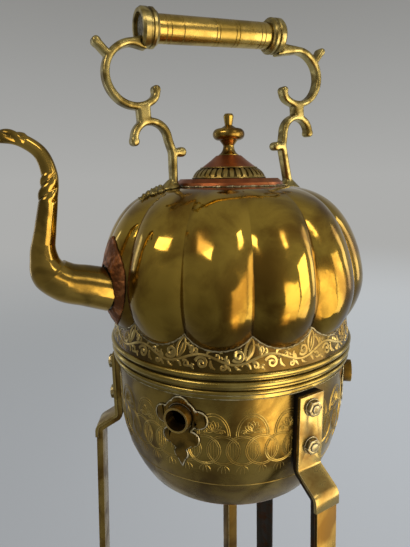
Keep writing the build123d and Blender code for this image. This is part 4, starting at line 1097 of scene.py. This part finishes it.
class KETTLE_OT_stage(bpy.types.Operator):
    """Set the floor, the world, the lamps and the camera"""
    bl_idname = "kettle.stage"
    bl_label = "Studio and camera"

    def round_about(self, add, way, tones):
        """Tone of the room by direction: behind the kettle, to its left in front, to its right in front."""
        behind, left, right = (rgba(tone) if isinstance(tone, str) else tone for tone in tones)
        across = add("VectorMath", {0: way, 1: RIGHTWARD}, operation="DOT_PRODUCT")
        side = add("MapRange", {"Value": across, "From Min": -0.3, "From Max": 0.9},
                   interpolation_type="SMOOTHSTEP")
        front = add("Mix", {0: side, 6: left, 7: right}, data_type="RGBA")
        ahead = add("VectorMath", {0: way, 1: BEHIND}, operation="DOT_PRODUCT")
        turn = add("MapRange", {"Value": ahead, "From Min": -0.1, "From Max": 0.55},
                   interpolation_type="SMOOTHSTEP")
        return add("Mix", {0: turn, 6: front, 7: behind}, data_type="RGBA")

    def lay_floor(self, scene):
        """Lay the floor, whose far edge never shows."""
        select_only()
        bpy.ops.mesh.primitive_circle_add(vertices=96, radius=scene.kettle_sizes.floor, fill_type="NGON")
        floor = bpy.context.object
        floor.name = "floor"
        # Sheet of matt paper that runs out into its own colour, so that it has no far edge.
        paper = bpy.data.materials.new("matt_studio_paper")
        add = partial(add_node, emptied(paper))
        place = add("TexCoord").outputs["Object"]
        reach = add("VectorMath", {0: place}, operation="LENGTH")
        far = add("MapRange", {
            "Value": reach, "From Min": 0.25, "From Max": 2.2, "To Min": 0.35, "To Max": 1},
            interpolation_type="SMOOTHSTEP")
        way = add("VectorMath", {0: place}, operation="NORMALIZE")
        # The tone the paper shows is painted: darker to the front left and lighter to the right and behind,
        # painted shade and light that the metal mirrors too.
        far_painted_tone = self.round_about(add, way, ("#ADADAB", "#7C7A75", "#A3A19B"))
        across = add("VectorMath", {0: place, 1: RIGHTWARD}, operation="DOT_PRODUCT")
        side = add("MapRange", {"Value": across, "From Min": -0.5, "From Max": 0.4},
                   interpolation_type="SMOOTHSTEP")
        near_painted_tone = add("Mix", {0: side, 6: rgba("#9DA0A2"), 7: rgba("#C6CBCF")}, data_type="RGBA")
        near_painted_tone = self.round_about(add, way, (near_painted_tone, "#7C7A75", "#B9BAB9"))
        fade = add("MapRange", {"Value": reach, "From Min": 0.4, "From Max": 4.0},
                   interpolation_type="SMOOTHSTEP")
        tone = add("Mix", {0: fade, 6: near_painted_tone, 7: far_painted_tone}, data_type="RGBA")
        matt = add("BsdfDiffuse", {"Color": rgba(scene.kettle_colours.floor)})
        painted_glow = add("Emission", {"Color": tone, "Strength": 1})
        # What sees or mirrors the paper gets more of the painted tone further out; the paper's own light and
        # shade stay near the kettle.
        rays = add("LightPath").outputs
        seen = add("Math", {0: rays["Is Camera Ray"], 1: rays["Is Glossy Ray"]}, operation="MAXIMUM")
        through = add("Math", {0: seen, 1: rays["Is Transmission Ray"]}, operation="MAXIMUM")
        share = add("Math", {0: far, 1: through}, operation="MULTIPLY")
        mixed = add("MixShader", {0: share, 1: matt, 2: painted_glow})
        add("OutputMaterial", {"Surface": mixed})
        floor.data.materials.append(paper)

    def light_room(self, scene):
        """Set a dim room round the kettle, and its lamps."""
        world = bpy.data.worlds.new("dim_room")
        scene.world = world
        add = partial(add_node, emptied(world))
        way = add("TexCoord").outputs["Generated"]
        height = add("MapRange", {
            "Value": add("SeparateXYZ", {0: way}).outputs["Z"], "From Min": 0.0, "From Max": 0.9})
        wall = add("ValToRGB", {0: height}, stops=[
            (0.0, "#ADADAB"), (0.22, "#9D9D9B"), (0.5, "#807F7C"), (1.0, "#8E8C86")])
        low_room = self.round_about(add, way, (wall, "#7C7A75", "#A3A19B"))
        high_room = self.round_about(add, way, (wall, "#94928C", "#A6A49D"))
        lit = add("Mix", {0: height, 6: low_room, 7: high_room}, data_type="RGBA")
        glow = add("Background", {"Color": lit, "Strength": 1})
        add("OutputWorld", {"Surface": glow})

        # The screens and windows show in the metal; the ceiling lights the floor and whatever is matt.
        # Each has its side angle from the camera, climb, distance, width, height, power and colour.
        for name, side, climb, distance, width, height, power, colour, mirrored in (
            ("sunlit_screen", 42, -13, 0.78, 0.50, 0.66, 3.3, "#FFE6B8", True),
            ("bright_screen", 75, -6, 0.78, 0.34, 0.74, 3.0, "#FFF0D2", True),
            ("table_edge", 33, -33, 0.70, 0.14, 0.20, 0.25, "#FFD9A0", True),
            ("window_left", -42, 37, 1.5, 0.80, 0.30, 4.0, "#FFEDD2", True),
            ("window_right", 50, 41, 1.5, 0.22, 0.40, 1.6, "#FFF0D8", True),
            ("strip_left", -112, 4, 1.6, 0.18, 1.0, 0.8, "#EEF2FF", True),
            ("strip_right", 108, 8, 1.5, 0.30, 1.0, 1.8, "#FFF4E4", True),
            ("ceiling", 150, 66, 1.8, 1.4, 1.2, 26, "#F4F6FF", False),
        ):
            away = Vector(around(cos(radians(climb)), TO_CAMERA + side, sin(radians(climb))))
            bpy.ops.object.light_add(type="AREA", location=Vector(TARGET) + away * distance)
            lamp = bpy.context.object
            lamp.name = name
            lamp.visible_camera = False
            lamp.visible_glossy = mirrored
            lamp.visible_diffuse = not mirrored
            lamp.rotation_euler = away.to_track_quat("Z", "Y").to_euler()
            lamp.data.shape = "RECTANGLE"
            lamp.data.size = width
            lamp.data.size_y = height
            lamp.data.energy = power
            lamp.data.color = linear(colour)

    def set_camera(self, scene):
        """Stand the camera a little over the kettle's mouth, looking down on it."""
        heading, pitch, roll = CAMERA_HEADING, CAMERA_PITCH, CAMERA_ROLL
        ahead = Vector((cos(heading) * cos(pitch), sin(heading) * cos(pitch), -sin(pitch)))
        right = Vector((sin(heading), -cos(heading), 0))
        up = right.cross(ahead)
        right, up = right * cos(roll) + up * sin(roll), up * cos(roll) - right * sin(roll)
        bpy.ops.object.camera_add()
        camera = bpy.context.object
        camera.name = "camera"
        turn = Matrix((right, up, -ahead)).transposed().to_4x4()
        camera.matrix_world = Matrix.Translation(CAMERA_PLACE) @ turn
        camera.data.sensor_fit = "AUTO"
        camera.data.sensor_width = 36
        camera.data.lens = CAMERA_LENS
        camera.data.clip_start = 0.01
        scene.camera = camera

    def execute(self, context):
        self.lay_floor(context.scene)
        self.light_room(context.scene)
        self.set_camera(context.scene)
        context.scene.view_settings.view_transform = "Standard"
        return {"FINISHED"}


class KETTLE_PT_panel(bpy.types.Panel):
    """The kettle's operators, sizes and colours"""
    bl_label = "Spirit kettle"
    bl_idname = "KETTLE_PT_panel"
    bl_space_type = "VIEW_3D"
    bl_region_type = "UI"
    bl_category = "Kettle"

    def draw(self, context):
        layout = self.layout
        for operator in OPERATORS:
            layout.operator(operator.bl_idname)
        for group in (context.scene.kettle_sizes, context.scene.kettle_colours):
            for name in group.bl_rna.properties.keys():
                if name not in ("rna_type", "name"):
                    layout.prop(group, name)


OPERATORS = (
    KETTLE_OT_bowl, KETTLE_OT_ports, KETTLE_OT_legs, KETTLE_OT_burner, KETTLE_OT_body,
    KETTLE_OT_spout, KETTLE_OT_handle, KETTLE_OT_lid, KETTLE_OT_stage,
)
CLASSES = (KettleSizes, KettleColours, *OPERATORS, KETTLE_PT_panel)


def register():
    for cls in CLASSES:
        bpy.utils.register_class(cls)
    bpy.types.Scene.kettle_sizes = bpy.props.PointerProperty(type=KettleSizes)
    bpy.types.Scene.kettle_colours = bpy.props.PointerProperty(type=KettleColours)


def unregister():
    del bpy.types.Scene.kettle_colours
    del bpy.types.Scene.kettle_sizes
    for cls in reversed(CLASSES):
        bpy.utils.unregister_class(cls)


def main():
    register()
    bpy.ops.kettle.bowl()
    bpy.ops.kettle.ports()
    bpy.ops.kettle.legs()
    bpy.ops.kettle.burner()
    bpy.ops.kettle.body()
    bpy.ops.kettle.spout()
    bpy.ops.kettle.handle()
    bpy.ops.kettle.lid()
    bpy.ops.kettle.stage()


if __name__ == "__main__":
    main()
